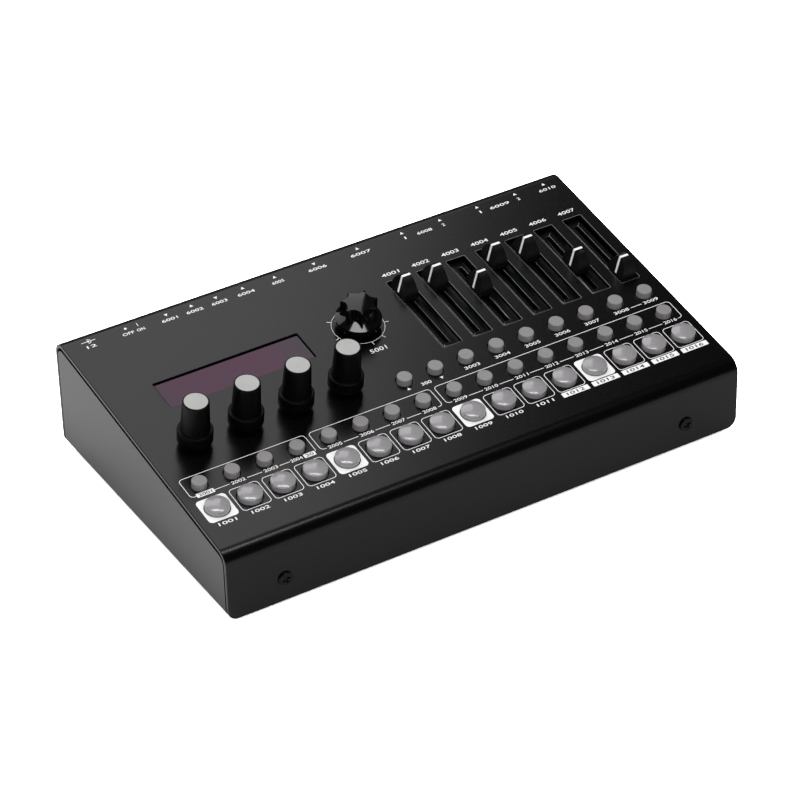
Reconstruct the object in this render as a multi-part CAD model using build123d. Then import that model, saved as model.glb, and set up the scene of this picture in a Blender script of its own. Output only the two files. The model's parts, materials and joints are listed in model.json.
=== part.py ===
from build123d import *
import math
import os

# Desktop drum machine. Millimetres, +Z up, front towards -Y.
# X = 0 is the middle of the case, Z = 0 the table under the rubber feet.
# The control panel slopes up towards the back. Places on it are given as (u, v, h):
# u to the right from the first column of buttons, v up the slope from the first row,
# h out of the panel's painted surface.

# ---- case ----
CASE_WIDTH = 286.0
CASE_DEPTH = 167.5
PANEL_SLOPE = 8.6
SHELL_SHEET = 2.0
SHELL_FRONT_BEND = 7.4
SHELL_BACK_BEND = 7.0
FLAP_CORNER = 5.5
FLAP_CLEAR_OF_TABLE = 3.0
ROW_1_HEIGHT = 45.1
ROW_1_FROM_FRONT = 29.5

TRAY_SHEET = 1.5
TRAY_BEND = 4.0
TRAY_LIFT = 1.2
TRAY_TOP_GAP = 1.4
TRAY_END_GAP = 0.6
TRAY_TOP_CORNER = 4.5
RETURN_HEIGHT = 17.0
RETURN_RELIEF = 0.8

FOOT_DIAMETER = 12.7
FOOT_TOE_DIAMETER = 11.0
FOOT_INSET_X = 25.0
FOOT_INSET_Y = 22.0

# ---- screws that join the shell and the tray ----
SCREW_DIAMETER = 4.0
SCREW_LENGTH = 9.0
SCREW_HEAD_DIAMETER = 7.6
SCREW_HEAD_HEIGHT = 1.1
SCREW_HEAD_EDGE = 0.5
SCREW_INSET_X = 30.5
SCREW_ABOVE_FLAP = 12.8
SCREW_CLEARANCE = 0.15
RECESS_WIDTH = 1.1
RECESS_SPAN = 4.2
RECESS_DEPTH = 0.8
RECESS_TURN = 22.0
CLINCH_NUT_DIAMETER = 7.0
CLINCH_NUT_HEIGHT = 2.2

# ---- grid of the panel ----
COLUMNS = 16
ROW_PITCH = 17.3
MODE_FIRST_COLUMN = 7
FIRST_COLUMN_FROM_SIDE = 12.5

# ---- step buttons ----
STEP_DIAMETER = 12.0
STEP_WALL_HEIGHT = 2.0
STEP_CROWN_HEIGHT = 3.8
STEP_EDGE_RADIUS = 0.5
STEP_HOLE_CLEARANCE = 0.3

# ---- small round buttons ----
SMALL_DIAMETER = 7.5
SMALL_HEIGHT = 3.1
SMALL_EDGE_RADIUS = 0.45
SMALL_HOLE_CLEARANCE = 0.4

# ---- what both kinds of button share ----
COLLAR_OVERLAP = 0.7
COLLAR_THICKNESS = 0.9
COLLAR_GAP = 0.7
PLUNGER_DIAMETER = 3.5
PLUNGER_CLEARANCE = 0.1
PLUNGER_FLOOR_GAP = 0.6
BUTTON_TRAVEL = 0.5
TACT_SIZE = 6.0
TACT_HEIGHT = 3.5
TACT_FLOOR = 0.4

# ---- faders ----
FADER_FIRST_COLUMN = 9
FADER_COUNT = 7
FADER_TRAVEL = 40.0
FADER_MIDDLE_V = 73.4
FADER_SLOT_WIDTH = 10.5
FADER_SLOT_END_CLEARANCE = 0.2
FADER_SLOT_CORNER = 0.4
FADER_RAISED_BY = (38.0, 37.6, 23.7, 37.9, 35.3, 15.8, 0.6)
CAP_LENGTH = 13.6
CAP_CREST_HEIGHT = 9.9
CAP_CREST_WIDTH = 4.7
CAP_CREST_FLAT = 1.3
CAP_SHOULDER_HEIGHT = 8.2
CAP_SHOULDER_REACH = 3.6
CAP_TOE_HEIGHT = 2.3
CAP_FOOT_WIDTH = 8.4
CAP_FOOT_SINK = 0.8
CAP_LINE_WIDTH = 1.4
CAP_LINE_DEPTH = 0.25
CAP_LINE_FOOT = 0.3
CAP_FACE_BOW = 0.35
LEVER_LENGTH = 4.4
LEVER_WIDTH = 1.2
LEVER_INTO_CAP = 4.0
LEVER_CLEARANCE = 0.1
FADER_BODY_WIDTH = 8.4
FADER_BODY_LENGTH = 62.0
FADER_PLATE_WIDTH = 6.8
FADER_PLATE_LENGTH = 49.2
FADER_PLATE_SHEET = 0.5
FADER_PLATE_DROP = 2.4
FADER_CHANNEL_WIDTH = 2.6
FADER_WELL_WIDTH = 5.0
FADER_WELL_FLOOR = 1.0
FADER_WIPER_THICKNESS = 1.6
FADER_WIPER_SIDE_GAP = 0.3

# ---- encoders ----
ENCODER_COUNT = 4
ENCODER_FIRST_U = 11.67
ENCODER_PITCH = 27.33
ENCODER_V = 42.75
DATA_ENCODER_LEFT_OF_MIDDLE = 2.45
DATA_ENCODER_V = 79.2
ENCODER_BODY_WIDTH = 12.4
ENCODER_BODY_LENGTH = 13.2
BUSHING_DIAMETER = 7.0
BUSHING_HEIGHT = 5.0
BUSHING_HOLE_CLEARANCE = 0.15
SHAFT_DIAMETER = 6.0
SHAFT_FLAT = 1.5
SHAFT_CLEARANCE = 0.05
SHAFT_FLOOR = 0.8
WASHER_DIAMETER = 12.0
WASHER_THICKNESS = 0.5
PANEL_NUT_ACROSS_FLATS = 10.0
PANEL_NUT_HEIGHT = 2.0
PANEL_NUT_TURN = 17.0
THREAD_CLEARANCE = 0.05

# ---- knobs of the four encoders ----
KNOB_BOTTOM = 3.6
KNOB_TOP = 27.0
KNOB_SKIRT_DIAMETER = 17.35
KNOB_SKIRT_THICKNESS = 6.2
KNOB_SKIRT_EDGE = 0.7
KNOB_FOOT_RING = 1.0
KNOB_GROOVE_WIDTH = 1.3
KNOB_GROOVE_DEPTH = 0.8
KNOB_GROOVE_FALL = 0.4
KNOB_RECESS_CLEARANCE = 1.0
KNOB_ROOT_RADIUS = 0.3
KNOB_GRIP_LOWER_DIAMETER = 14.3
KNOB_GRIP_UPPER_DIAMETER = 12.8
KNOB_TOP_CHAMFER = 0.35
KNOB_INSERT_DIAMETER = 11.3
KNOB_INSERT_THICKNESS = 1.2
KNOB_INSERT_CLEARANCE = 0.04
KNOB_SHAFT_REACH = 16.2

# ---- fluted data knob ----
DATA_KNOB_BOTTOM = 3.0
DATA_KNOB_TOP = 16.0
DATA_RIM_DIAMETER = 23.2
DATA_RIM_HEIGHT = 2.9
DATA_CONE_RISE = 0.45
DATA_GRIP_DIAMETER = 18.8
DATA_FLUTES = 7
DATA_FLUTE_FLOOR_RADIUS = 6.7
DATA_FLUTE_RADIUS = 4.3
DATA_FLUTE_TURN = 18.0
DATA_TOP_EDGE = 0.35
DATA_CROWN_RADIUS = 60.0
DATA_SHAFT_REACH = 10.0

# ---- display ----
WINDOW_LEFT_U = 13.8
WINDOW_WIDTH = 79.3
WINDOW_FRONT_V = 69.45
WINDOW_HEIGHT = 18.75
WINDOW_CORNER = 0.4
GLASS_WIDTH = 88.0
GLASS_HEIGHT = 27.8
GLASS_THICKNESS = 2.3
GLASS_GAP = 0.3
GLASS_STEP_DROP = 1.0
GLASS_STEP_CLEARANCE = 0.25
MODULE_WIDTH = 92.0
MODULE_HEIGHT = 33.0
MODULE_SPACER_DIAMETER = 4.5
MODULE_SPACER_INSET = 3.0

# ---- circuit boards ----
BOARD_THICKNESS = 1.6
CONTROL_BOARD_DROP = 9.0
CONTROL_BOARD_SIDE_GAP = 4.5
CONTROL_BOARD_FRONT_V = -14.0
CONTROL_BOARD_BACK_V = 110.0
BOARD_STUD_ACROSS_FLATS = 5.0
BOARD_STUD_COLUMNS = (0.5, 5.5, 8.5, 14.5)
BOARD_STUDS_V = (8.65, 107.0)
BOARD_SCREW_HEAD = 5.5
BOARD_SCREW_HEAD_HEIGHT = 1.8
STEP_LAMP_OFFSET = 4.2
STEP_LAMP = (1.6, 3.2, 0.9)
PROCESSOR_SIZE = 14.0
PROCESSOR_HEIGHT = 1.4
PROCESSOR_U = 148.0
PROCESSOR_V = 60.0

REAR_BOARD_HEIGHT = 22.4
REAR_BOARD_DEPTH = 38.0
REAR_BOARD_SIDE_GAP = 7.0
REAR_BOARD_WALL_GAP = 0.5
REAR_STANDOFF_ACROSS_FLATS = 6.0
REAR_STANDOFF_INSET = 4.5
REAR_STANDOFF_COLUMNS = (-0.03, 4.51, 9.455, 15.03)
CAPACITOR_DIAMETER = 8.0
CAPACITOR_HEIGHT = 10.0
CAPACITOR_COLUMNS = (1.06, 1.87, 2.68)

RIBBON_WIDTH = 30.0
RIBBON_THICKNESS = 1.0
RIBBON_X = 20.0
RIBBON_PLUG_WIDTH = 34.0
RIBBON_PLUG_DEPTH = 8.0
RIBBON_PLUG_HEIGHT = 6.5
RIBBON_STEP_FORWARD = 32.0

# ---- sockets in the back flap, placed by the panel's button columns ----
SOCKET_HOLE_CLEARANCE = 0.2

OUTPUT_FIRST_COLUMN = 10.207
OUTPUT_COLUMN_STEP = 1.293
OUTPUT_COUNT = 4
OUTPUT_BORE = 6.5
OUTPUT_BUSHING = 9.4
OUTPUT_PROUD = 3.5
OUTPUT_BODY = (16.0, 26.0, 15.0)
OUTPUT_NUT_ACROSS_FLATS = 12.0
OUTPUT_NUT_HEIGHT = 2.2
OUTPUT_WASHER = 13.0
OUTPUT_WASHER_THICKNESS = 0.5
OUTPUT_END_WALL = 1.5

MINI_JACK_COLUMNS = (2.477, 3.282, 4.069, 15.092)
MINI_BORE = 3.6
MINI_BUSHING = 6.0
MINI_PROUD = 2.6
MINI_BODY = (9.0, 14.0, 10.5)
MINI_NUT = 8.0
MINI_NUT_HEIGHT = 2.0
MINI_NUT_SLOT = 1.0
MINI_END_WALL = 1.5

DIN_SOCKET_COLUMNS = (7.27, 8.707)
DIN_BODY = (20.0, 16.0, 20.0)
DIN_MOUTH = 15.2
DIN_MOUTH_DEPTH = 2.6
DIN_CORE = 12.2
DIN_GROOVE_DEPTH = 7.0
DIN_PIN_HOLE = 1.7
DIN_PIN_CIRCLE = 8.0
DIN_PIN_COUNT = 5
DIN_PIN_STEP = 45.0
DIN_PIN_DEPTH = 8.0

USB_COLUMN = 5.977
USB_BODY = (12.0, 16.5, 11.0)
USB_SET_BACK = 0.2
USB_CAVITY_WIDTH = 8.5
USB_CAVITY_HEIGHT = 7.8
USB_CAVITY_CHAMFER = 1.6
USB_CAVITY_DEPTH = 9.0
USB_TONGUE_WIDTH = 5.6
USB_TONGUE_HEIGHT = 3.2
USB_TONGUE_LENGTH = 7.5

CARD_COLUMN = 4.937
CARD_BODY = (14.5, 15.0, 2.4)
CARD_SLOT_WIDTH = 11.4
CARD_SLOT_HEIGHT = 1.0
CARD_SLOT_DEPTH = 12.0

POWER_INLET_COLUMN = 0.014
POWER_INLET_BODY = (9.0, 14.0, 11.0)
POWER_INLET_BORE = 6.2
POWER_INLET_DEPTH = 9.5
POWER_INLET_PIN = 2.0
POWER_INLET_PIN_LENGTH = 8.5
POWER_INLET_HOLE = 8.0

SWITCH_COLUMN = 1.385
SWITCH_TRAVEL = 4.0
SWITCH_BODY = (13.0, 7.0, 8.0)
SWITCH_NUB_WIDTH = 4.0
SWITCH_NUB_HEIGHT = 3.6
SWITCH_NUB_PROUD = 3.0
SWITCH_NUB_CLEARANCE = 0.3
SWITCH_CARRIAGE_HEIGHT = 5.4
SWITCH_CARRIAGE_DEPTH = 2.5
SWITCH_CARRIAGE_LENGTH = 6.4
SWITCH_WALL = 1.0
SWITCH_RUNNING_GAP = 0.06

# ---- places worked out from the sizes above ----
CASE_HALF = CASE_WIDTH / 2
FRONT_FACE_Y = -(CASE_DEPTH + OUTPUT_PROUD - SCREW_HEAD_HEIGHT) / 2
BACK_FACE_Y = FRONT_FACE_Y + CASE_DEPTH
BACK_WALL_Y = BACK_FACE_Y - SHELL_SHEET
TRAY_BOTTOM_Z = FLAP_CLEAR_OF_TABLE + TRAY_LIFT
TRAY_FLOOR_Z = TRAY_BOTTOM_Z + TRAY_SHEET
TRAY_FRONT_Y = FRONT_FACE_Y + SHELL_SHEET + TRAY_END_GAP
TRAY_BACK_Y = BACK_WALL_Y - TRAY_END_GAP
ROW_1_Y = FRONT_FACE_Y + ROW_1_FROM_FRONT
FIRST_COLUMN_X = -CASE_HALF + FIRST_COLUMN_FROM_SIDE
COLUMN_PITCH = (CASE_WIDTH - 2 * FIRST_COLUMN_FROM_SIDE) / (COLUMNS - 1)
SLOPE = math.radians(PANEL_SLOPE)
SCREW_Z = FLAP_CLEAR_OF_TABLE + SCREW_ABOVE_FLAP
REAR_BOARD_TOP_Z = REAR_BOARD_HEIGHT + BOARD_THICKNESS
STEP_HOLE = STEP_DIAMETER + 2 * STEP_HOLE_CLEARANCE
SMALL_HOLE = SMALL_DIAMETER + 2 * SMALL_HOLE_CLEARANCE
FADER_SLOT_LENGTH = FADER_TRAVEL + CAP_LENGTH + 2 * FADER_SLOT_END_CLEARANCE
LOWEST_CREST_V = FADER_MIDDLE_V - FADER_TRAVEL / 2
BUSHING_HOLE = BUSHING_DIAMETER + 2 * BUSHING_HOLE_CLEARANCE
WINDOW_MIDDLE = (WINDOW_LEFT_U + WINDOW_WIDTH / 2, WINDOW_FRONT_V + WINDOW_HEIGHT / 2)
CONTROL_BOARD_BOTTOM = -CONTROL_BOARD_DROP - BOARD_THICKNESS

PANEL = Plane(
    origin=(FIRST_COLUMN_X, ROW_1_Y, ROW_1_HEIGHT),
    x_dir=(1, 0, 0),
    z_dir=(0, -math.sin(SLOPE), math.cos(SLOPE)),
).location


def on_panel(u, v, h=0.0):
    """Location at a place on the panel, with Z out of the painted surface."""
    return PANEL * Pos(u, v, h)


def out_of_back(x, y, z):
    """Location in the back flap, with Z out of the case and X to the right as seen from the front."""
    return Pos(x, y, z) * Rot(-90, 0, 0)


def disc(diameter, bottom, top):
    """Upright cylinder between two heights."""
    return Pos(0, 0, bottom) * Cylinder(
        diameter / 2, top - bottom, align=(Align.CENTER, Align.CENTER, Align.MIN)
    )


def block(width, length, bottom, top):
    """Upright box between two heights, centred in plan."""
    return Pos(0, 0, bottom) * Box(
        width, length, top - bottom, align=(Align.CENTER, Align.CENTER, Align.MIN)
    )


def hexagon(across_flats, bottom, top):
    """Upright hexagonal bar between two heights."""
    outline = RegularPolygon(across_flats / 2, 6, major_radius=False)
    return Pos(0, 0, bottom) * extrude(outline, top - bottom)


def rounded_block(width, length, corner, bottom, top):
    """Upright box with rounded vertical edges."""
    return Pos(0, 0, bottom) * extrude(RectangleRounded(width, length, corner), top - bottom)


def panel_surface_z(y, below=0.0):
    """Height of the panel's painted surface at a depth y, or of a plane below it."""
    return ROW_1_HEIGHT + (y - ROW_1_Y) * math.tan(SLOPE) - below / math.cos(SLOPE)


# ---- lists of places ----
def step_places():
    return [(column * COLUMN_PITCH, 0.0) for column in range(COLUMNS)]


def function_places():
    return [(column * COLUMN_PITCH, ROW_PITCH) for column in range(COLUMNS)]


def mode_places():
    return [(column * COLUMN_PITCH, 2 * ROW_PITCH) for column in range(MODE_FIRST_COLUMN, COLUMNS)]


def small_places():
    return function_places() + mode_places()


def fader_columns():
    return [(FADER_FIRST_COLUMN + number) * COLUMN_PITCH for number in range(FADER_COUNT)]


def data_encoder_place():
    """The data encoder sits a little left of the middle between the window and the first fader."""
    window_end = WINDOW_LEFT_U + WINDOW_WIDTH
    return (window_end + fader_columns()[0]) / 2 - DATA_ENCODER_LEFT_OF_MIDDLE, DATA_ENCODER_V


def encoder_places():
    row = [(ENCODER_FIRST_U + number * ENCODER_PITCH, ENCODER_V) for number in range(ENCODER_COUNT)]
    return row + [data_encoder_place()]


def column_x(column):
    """Place across the case of a button column, or of a place between two columns."""
    return FIRST_COLUMN_X + column * COLUMN_PITCH


def output_places():
    columns = [OUTPUT_FIRST_COLUMN + number * OUTPUT_COLUMN_STEP for number in range(OUTPUT_COUNT)]
    return [column_x(column) for column in columns]


def mini_jack_places():
    return [column_x(column) for column in MINI_JACK_COLUMNS]


def din_places():
    return [column_x(column) for column in DIN_SOCKET_COLUMNS]


def screw_places():
    """Case screws as (x, y of the flap's outer face, direction out of the case)."""
    places = []
    for side in (-1, 1):
        x = side * (CASE_HALF - SCREW_INSET_X)
        places.append((x, FRONT_FACE_Y, -1))
        places.append((x, BACK_FACE_Y, 1))
    return places


def screw_location(x, y, direction):
    """Location of a case screw, with Z out of the flap."""
    return Pos(x, y, SCREW_Z) * Rot(90 if direction < 0 else -90, 0, 0)


# ---- case ----
def shell_outline(inset, front_radius, back_radius):
    """Bent line of the shell seen from the side, drawn in the YZ plane."""
    front = FRONT_FACE_Y + inset
    back = BACK_FACE_Y - inset
    corners = [
        (front, FLAP_CLEAR_OF_TABLE),
        (front, panel_surface_z(front, inset)),
        (back, panel_surface_z(back, inset)),
        (back, FLAP_CLEAR_OF_TABLE),
    ]
    return FilletPolyline(*corners, radius=[front_radius, back_radius])


def panel_cuts():
    """Everything cut through the sloping panel."""
    low, high = -2 * SHELL_SHEET, SHELL_SHEET
    cuts = [on_panel(u, v) * disc(STEP_HOLE, low, high) for u, v in step_places()]
    cuts += [on_panel(u, v) * disc(SMALL_HOLE, low, high) for u, v in small_places()]
    cuts += [on_panel(u, v) * disc(BUSHING_HOLE, low, high) for u, v in encoder_places()]
    slot = rounded_block(FADER_SLOT_WIDTH, FADER_SLOT_LENGTH, FADER_SLOT_CORNER, low, high)
    cuts += [on_panel(u, FADER_MIDDLE_V) * slot for u in fader_columns()]
    window = rounded_block(WINDOW_WIDTH, WINDOW_HEIGHT, WINDOW_CORNER, low, high)
    cuts.append(on_panel(*WINDOW_MIDDLE) * window)
    return cuts


def back_flap_cuts():
    """Everything cut through the back flap for the sockets."""
    low, high = -2 * SHELL_SHEET, SHELL_SHEET
    gap = 2 * SOCKET_HOLE_CLEARANCE
    cuts = []
    for x in output_places():
        cuts.append(out_of_back(x, BACK_FACE_Y, output_axis_z()) * disc(OUTPUT_BUSHING + gap, low, high))
    for x in mini_jack_places():
        cuts.append(out_of_back(x, BACK_FACE_Y, mini_axis_z()) * disc(MINI_BUSHING + gap, low, high))
    for x in din_places():
        cuts.append(out_of_back(x, BACK_FACE_Y, din_axis_z()) * disc(DIN_MOUTH + gap, low, high))
    inlet = out_of_back(column_x(POWER_INLET_COLUMN), BACK_FACE_Y, power_inlet_axis_z())
    cuts.append(inlet * disc(POWER_INLET_HOLE, low, high))
    usb = out_of_back(column_x(USB_COLUMN), BACK_FACE_Y, REAR_BOARD_TOP_Z + USB_BODY[2] / 2)
    cuts.append(usb * block(USB_BODY[0] + gap, USB_BODY[2] + gap, low, high))
    card = out_of_back(column_x(CARD_COLUMN), BACK_FACE_Y, card_axis_z())
    cuts.append(card * block(CARD_SLOT_WIDTH + 2 * gap, CARD_SLOT_HEIGHT + 2 * gap, low, high))
    switch = out_of_back(column_x(SWITCH_COLUMN), BACK_FACE_Y, switch_axis_z())
    nub_way = SWITCH_NUB_WIDTH + SWITCH_TRAVEL + 2 * SWITCH_NUB_CLEARANCE
    cuts.append(switch * block(nub_way, SWITCH_NUB_HEIGHT + 2 * SWITCH_NUB_CLEARANCE, low, high))
    return cuts


def top_shell():
    """One bent sheet: front flap, sloping control panel and back flap."""
    outer = shell_outline(0.0, SHELL_FRONT_BEND, SHELL_BACK_BEND)
    inner = shell_outline(
        SHELL_SHEET, SHELL_FRONT_BEND - SHELL_SHEET, SHELL_BACK_BEND - SHELL_SHEET
    )
    ends = [Line(outer @ 0, inner @ 0), Line(outer @ 1, inner @ 1)]
    section = Plane.YZ * make_face(Wire([*outer.edges(), *inner.edges(), *ends]).edges())
    shell = extrude(section, amount=CASE_HALF, both=True)
    flap_corners = shell.edges().filter_by(Axis.Y).group_by(Axis.Z)[0]
    shell = fillet(flap_corners, FLAP_CORNER)
    holes = panel_cuts() + back_flap_cuts()
    bore = SCREW_DIAMETER + 2 * SCREW_CLEARANCE
    for x, y, direction in screw_places():
        holes.append(screw_location(x, y, direction) * disc(bore, -2 * SHELL_SHEET, SHELL_SHEET))
    return shell - holes


def side_outline():
    """Outline of the tray's side walls, which follow the shell from inside."""
    drop = SHELL_SHEET + TRAY_TOP_GAP
    corners = [
        (TRAY_FRONT_Y, TRAY_BOTTOM_Z),
        (TRAY_FRONT_Y, panel_surface_z(TRAY_FRONT_Y, drop)),
        (TRAY_BACK_Y, panel_surface_z(TRAY_BACK_Y, drop)),
        (TRAY_BACK_Y, TRAY_BOTTOM_Z),
    ]
    outline = FilletPolyline(*corners, radius=TRAY_TOP_CORNER)
    bottom = Line(outline @ 1, outline @ 0)
    return Plane.YZ * make_face([*outline.edges(), bottom])


def bent_channel(half_span, height, plane):
    """Section of a sheet bent up at both ends, drawn around the tray's bottom."""
    top = TRAY_BOTTOM_Z + height
    outer = FilletPolyline(
        (-half_span, top), (-half_span, TRAY_BOTTOM_Z), (half_span, TRAY_BOTTOM_Z), (half_span, top),
        radius=TRAY_BEND,
    )
    inside = half_span - TRAY_SHEET
    inner = FilletPolyline(
        (-inside, top), (-inside, TRAY_FLOOR_Z), (inside, TRAY_FLOOR_Z), (inside, top),
        radius=TRAY_BEND - TRAY_SHEET,
    )
    ends = [Line(outer @ 0, inner @ 0), Line(outer @ 1, inner @ 1)]
    return plane * make_face([*outer.edges(), *inner.edges(), *ends])


def bottom_tray():
    """Bent sheet: bottom, two side walls that close the shell's ends, and front and back returns."""
    middle_y = (TRAY_FRONT_Y + TRAY_BACK_Y) / 2
    half_depth = (TRAY_BACK_Y - TRAY_FRONT_Y) / 2
    across = Plane(origin=(0, middle_y, 0), x_dir=(1, 0, 0), z_dir=(0, -1, 0))
    along = Plane(origin=(0, middle_y, 0), x_dir=(0, 1, 0), z_dir=(1, 0, 0))
    walls = extrude(bent_channel(CASE_HALF, ROW_1_HEIGHT * 2, across), half_depth, both=True)
    walls = walls & extrude(side_outline(), CASE_HALF, both=True)
    inside = CASE_HALF - TRAY_SHEET - RETURN_RELIEF
    returns = extrude(bent_channel(half_depth, RETURN_HEIGHT, along), inside, both=True)
    end_cut = Box(2 * inside, 2 * TRAY_BEND, 2 * TRAY_BEND)
    walls = walls - [Pos(0, y, TRAY_BOTTOM_Z) * end_cut for y in (TRAY_FRONT_Y, TRAY_BACK_Y)]
    tray = walls + returns
    for x, y, direction in screw_places():
        bore = SCREW_DIAMETER + 2 * SCREW_CLEARANCE
        tray -= screw_location(x, y, direction) * disc(bore, -4 * SHELL_SHEET, 0)
    return tray


def case_screws():
    """Four pan-head cross-recess screws, each in a clinch nut behind the tray's return."""
    solids = []
    nut_face = -(SHELL_SHEET + TRAY_END_GAP + TRAY_SHEET)
    for x, y, direction in screw_places():
        head = disc(SCREW_HEAD_DIAMETER, 0, SCREW_HEAD_HEIGHT)
        head = fillet(head.edges().group_by(Axis.Z)[-1], SCREW_HEAD_EDGE)
        shank = disc(SCREW_DIAMETER, -SCREW_LENGTH, 0)
        floor = SCREW_HEAD_HEIGHT - RECESS_DEPTH
        recess = block(RECESS_WIDTH, RECESS_SPAN, floor, SCREW_HEAD_HEIGHT)
        recess += block(RECESS_SPAN, RECESS_WIDTH, floor, SCREW_HEAD_HEIGHT)
        screw = head + shank - Rot(0, 0, RECESS_TURN) * recess
        nut = disc(CLINCH_NUT_DIAMETER, nut_face - CLINCH_NUT_HEIGHT, nut_face)
        nut -= disc(SCREW_DIAMETER + 2 * THREAD_CLEARANCE, nut_face - CLINCH_NUT_HEIGHT, nut_face)
        place = screw_location(x, y, direction)
        solids += [place * screw, place * nut]
    return solids


def rubber_feet():
    """Four round feet stuck under the tray."""
    foot = Pos(0, 0, TRAY_BOTTOM_Z / 2) * Cone(
        FOOT_TOE_DIAMETER / 2, FOOT_DIAMETER / 2, TRAY_BOTTOM_Z
    )
    places = []
    for side in (-1, 1):
        x = side * (CASE_HALF - FOOT_INSET_X)
        places += [(x, FRONT_FACE_Y + FOOT_INSET_Y), (x, BACK_FACE_Y - FOOT_INSET_Y)]
    return [Pos(x, y, 0) * foot for x, y in places]


# ---- buttons ----
def collar_top():
    return -SHELL_SHEET - COLLAR_GAP


def collar_bottom():
    return collar_top() - COLLAR_THICKNESS


def tact_top():
    return -CONTROL_BOARD_DROP + TACT_HEIGHT


def tact_floor():
    return -CONTROL_BOARD_DROP + TACT_FLOOR


def button_plunger():
    """Plunger of the switch, pressed by the cap."""
    bottom = tact_floor() + BUTTON_TRAVEL + PLUNGER_FLOOR_GAP
    return disc(PLUNGER_DIAMETER, bottom, collar_bottom())


def light_guide(diameter):
    """Part of a cap below the panel's surface, which carries the lamp's light up."""
    return disc(diameter, collar_top(), 0)


def button_collar(hole):
    """Disc under a cap that holds it behind the panel."""
    return disc(hole + 2 * COLLAR_OVERLAP, collar_bottom(), collar_top())


def step_button(u, v):
    """Domed translucent cap, its collar and its switch plunger."""
    radius = STEP_DIAMETER / 2
    rise = STEP_CROWN_HEIGHT - STEP_WALL_HEIGHT
    dome_radius = (radius**2 + rise**2) / (2 * rise)
    with BuildLine() as line:
        Line((0, STEP_CROWN_HEIGHT), (0, 0))
        Line((0, 0), (radius, 0))
        Line((radius, 0), (radius, STEP_WALL_HEIGHT))
        RadiusArc((radius, STEP_WALL_HEIGHT), (0, STEP_CROWN_HEIGHT), -dome_radius)
    section = make_face(line.line)
    rim = section.vertices().sort_by_distance((radius, STEP_WALL_HEIGHT))[0]
    crown = revolve(Plane.XZ * fillet(rim, STEP_EDGE_RADIUS), Axis.Z)
    place = on_panel(u, v)
    cap = light_guide(STEP_DIAMETER) + crown
    return [place * piece for piece in (cap, button_collar(STEP_HOLE), button_plunger())]


def small_button(u, v):
    """Flat round translucent cap, its collar and its switch plunger."""
    cap = light_guide(SMALL_DIAMETER) + disc(SMALL_DIAMETER, 0, SMALL_HEIGHT)
    cap = fillet(cap.edges().group_by(Axis.Z)[-1], SMALL_EDGE_RADIUS)
    place = on_panel(u, v)
    return [place * piece for piece in (cap, button_collar(SMALL_HOLE), button_plunger())]


# ---- faders ----
def cap_side_profile():
    """Side view of a fader cap: flat crest, bowed faces and upright toes, drawn as (v, h)."""
    crest = CAP_CREST_FLAT / 2
    toe = CAP_LENGTH / 2
    shoulder = CAP_SHOULDER_REACH
    with BuildLine() as line:
        Line((-crest, CAP_CREST_HEIGHT), (crest, CAP_CREST_HEIGHT))
        SagittaArc((crest, CAP_CREST_HEIGHT), (shoulder, CAP_SHOULDER_HEIGHT), CAP_FACE_BOW / 2)
        SagittaArc((shoulder, CAP_SHOULDER_HEIGHT), (toe, CAP_TOE_HEIGHT), CAP_FACE_BOW)
        Line((toe, CAP_TOE_HEIGHT), (toe, -CAP_FOOT_SINK))
        Line((toe, -CAP_FOOT_SINK), (-toe, -CAP_FOOT_SINK))
        Line((-toe, -CAP_FOOT_SINK), (-toe, CAP_TOE_HEIGHT))
        SagittaArc((-toe, CAP_TOE_HEIGHT), (-shoulder, CAP_SHOULDER_HEIGHT), CAP_FACE_BOW)
        SagittaArc((-shoulder, CAP_SHOULDER_HEIGHT), (-crest, CAP_CREST_HEIGHT), CAP_FACE_BOW / 2)
    return make_face(line.line)


def cap_end_profile(grow=0.0):
    """End view of a fader cap, drawn as (u, h): narrow crest and wide foot."""
    top = CAP_CREST_WIDTH / 2 + grow
    foot = CAP_FOOT_WIDTH / 2 + grow
    lowest = -CAP_FOOT_SINK
    highest = CAP_CREST_HEIGHT + grow
    return make_face(
        Polyline((-top, highest), (top, highest), (foot, lowest), (-foot, lowest), close=True)
    )


def fader_cap(number):
    """Cap, its inlaid line across the crest, and the lever with the wiper that runs in the fader."""
    side = extrude(Plane.YZ * cap_side_profile(), CAP_FOOT_WIDTH, both=True)
    ends = extrude(Plane.XZ * cap_end_profile(), CAP_LENGTH, both=True)
    cap = side & ends
    band = extrude(Plane.XZ * cap_end_profile(), CAP_LINE_WIDTH / 2, both=True)
    core = extrude(Plane.XZ * cap_end_profile(-CAP_LINE_DEPTH), CAP_LINE_WIDTH, both=True)
    line = band - core
    line = line - block(2 * CAP_FOOT_WIDTH, CAP_LENGTH, -2 * CAP_FOOT_SINK, CAP_LINE_FOOT)
    cap = cap - line
    lever_bottom = -FADER_PLATE_DROP - FADER_PLATE_SHEET - FADER_WIPER_THICKNESS
    lever_pocket = block(
        LEVER_WIDTH + 2 * LEVER_CLEARANCE, LEVER_LENGTH + 2 * LEVER_CLEARANCE,
        -CAP_FOOT_SINK, LEVER_INTO_CAP + LEVER_CLEARANCE,
    )
    lever = block(LEVER_WIDTH, LEVER_LENGTH, lever_bottom, LEVER_INTO_CAP)
    wiper_width = FADER_WELL_WIDTH - 2 * FADER_WIPER_SIDE_GAP
    wiper_top = -FADER_PLATE_DROP - FADER_PLATE_SHEET - FADER_WIPER_SIDE_GAP
    lever += block(wiper_width, LEVER_LENGTH, lever_bottom - FADER_WIPER_SIDE_GAP, wiper_top)
    place = on_panel(fader_columns()[number], LOWEST_CREST_V + FADER_RAISED_BY[number])
    return [place * (cap - lever_pocket), place * line, place * lever]


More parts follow.
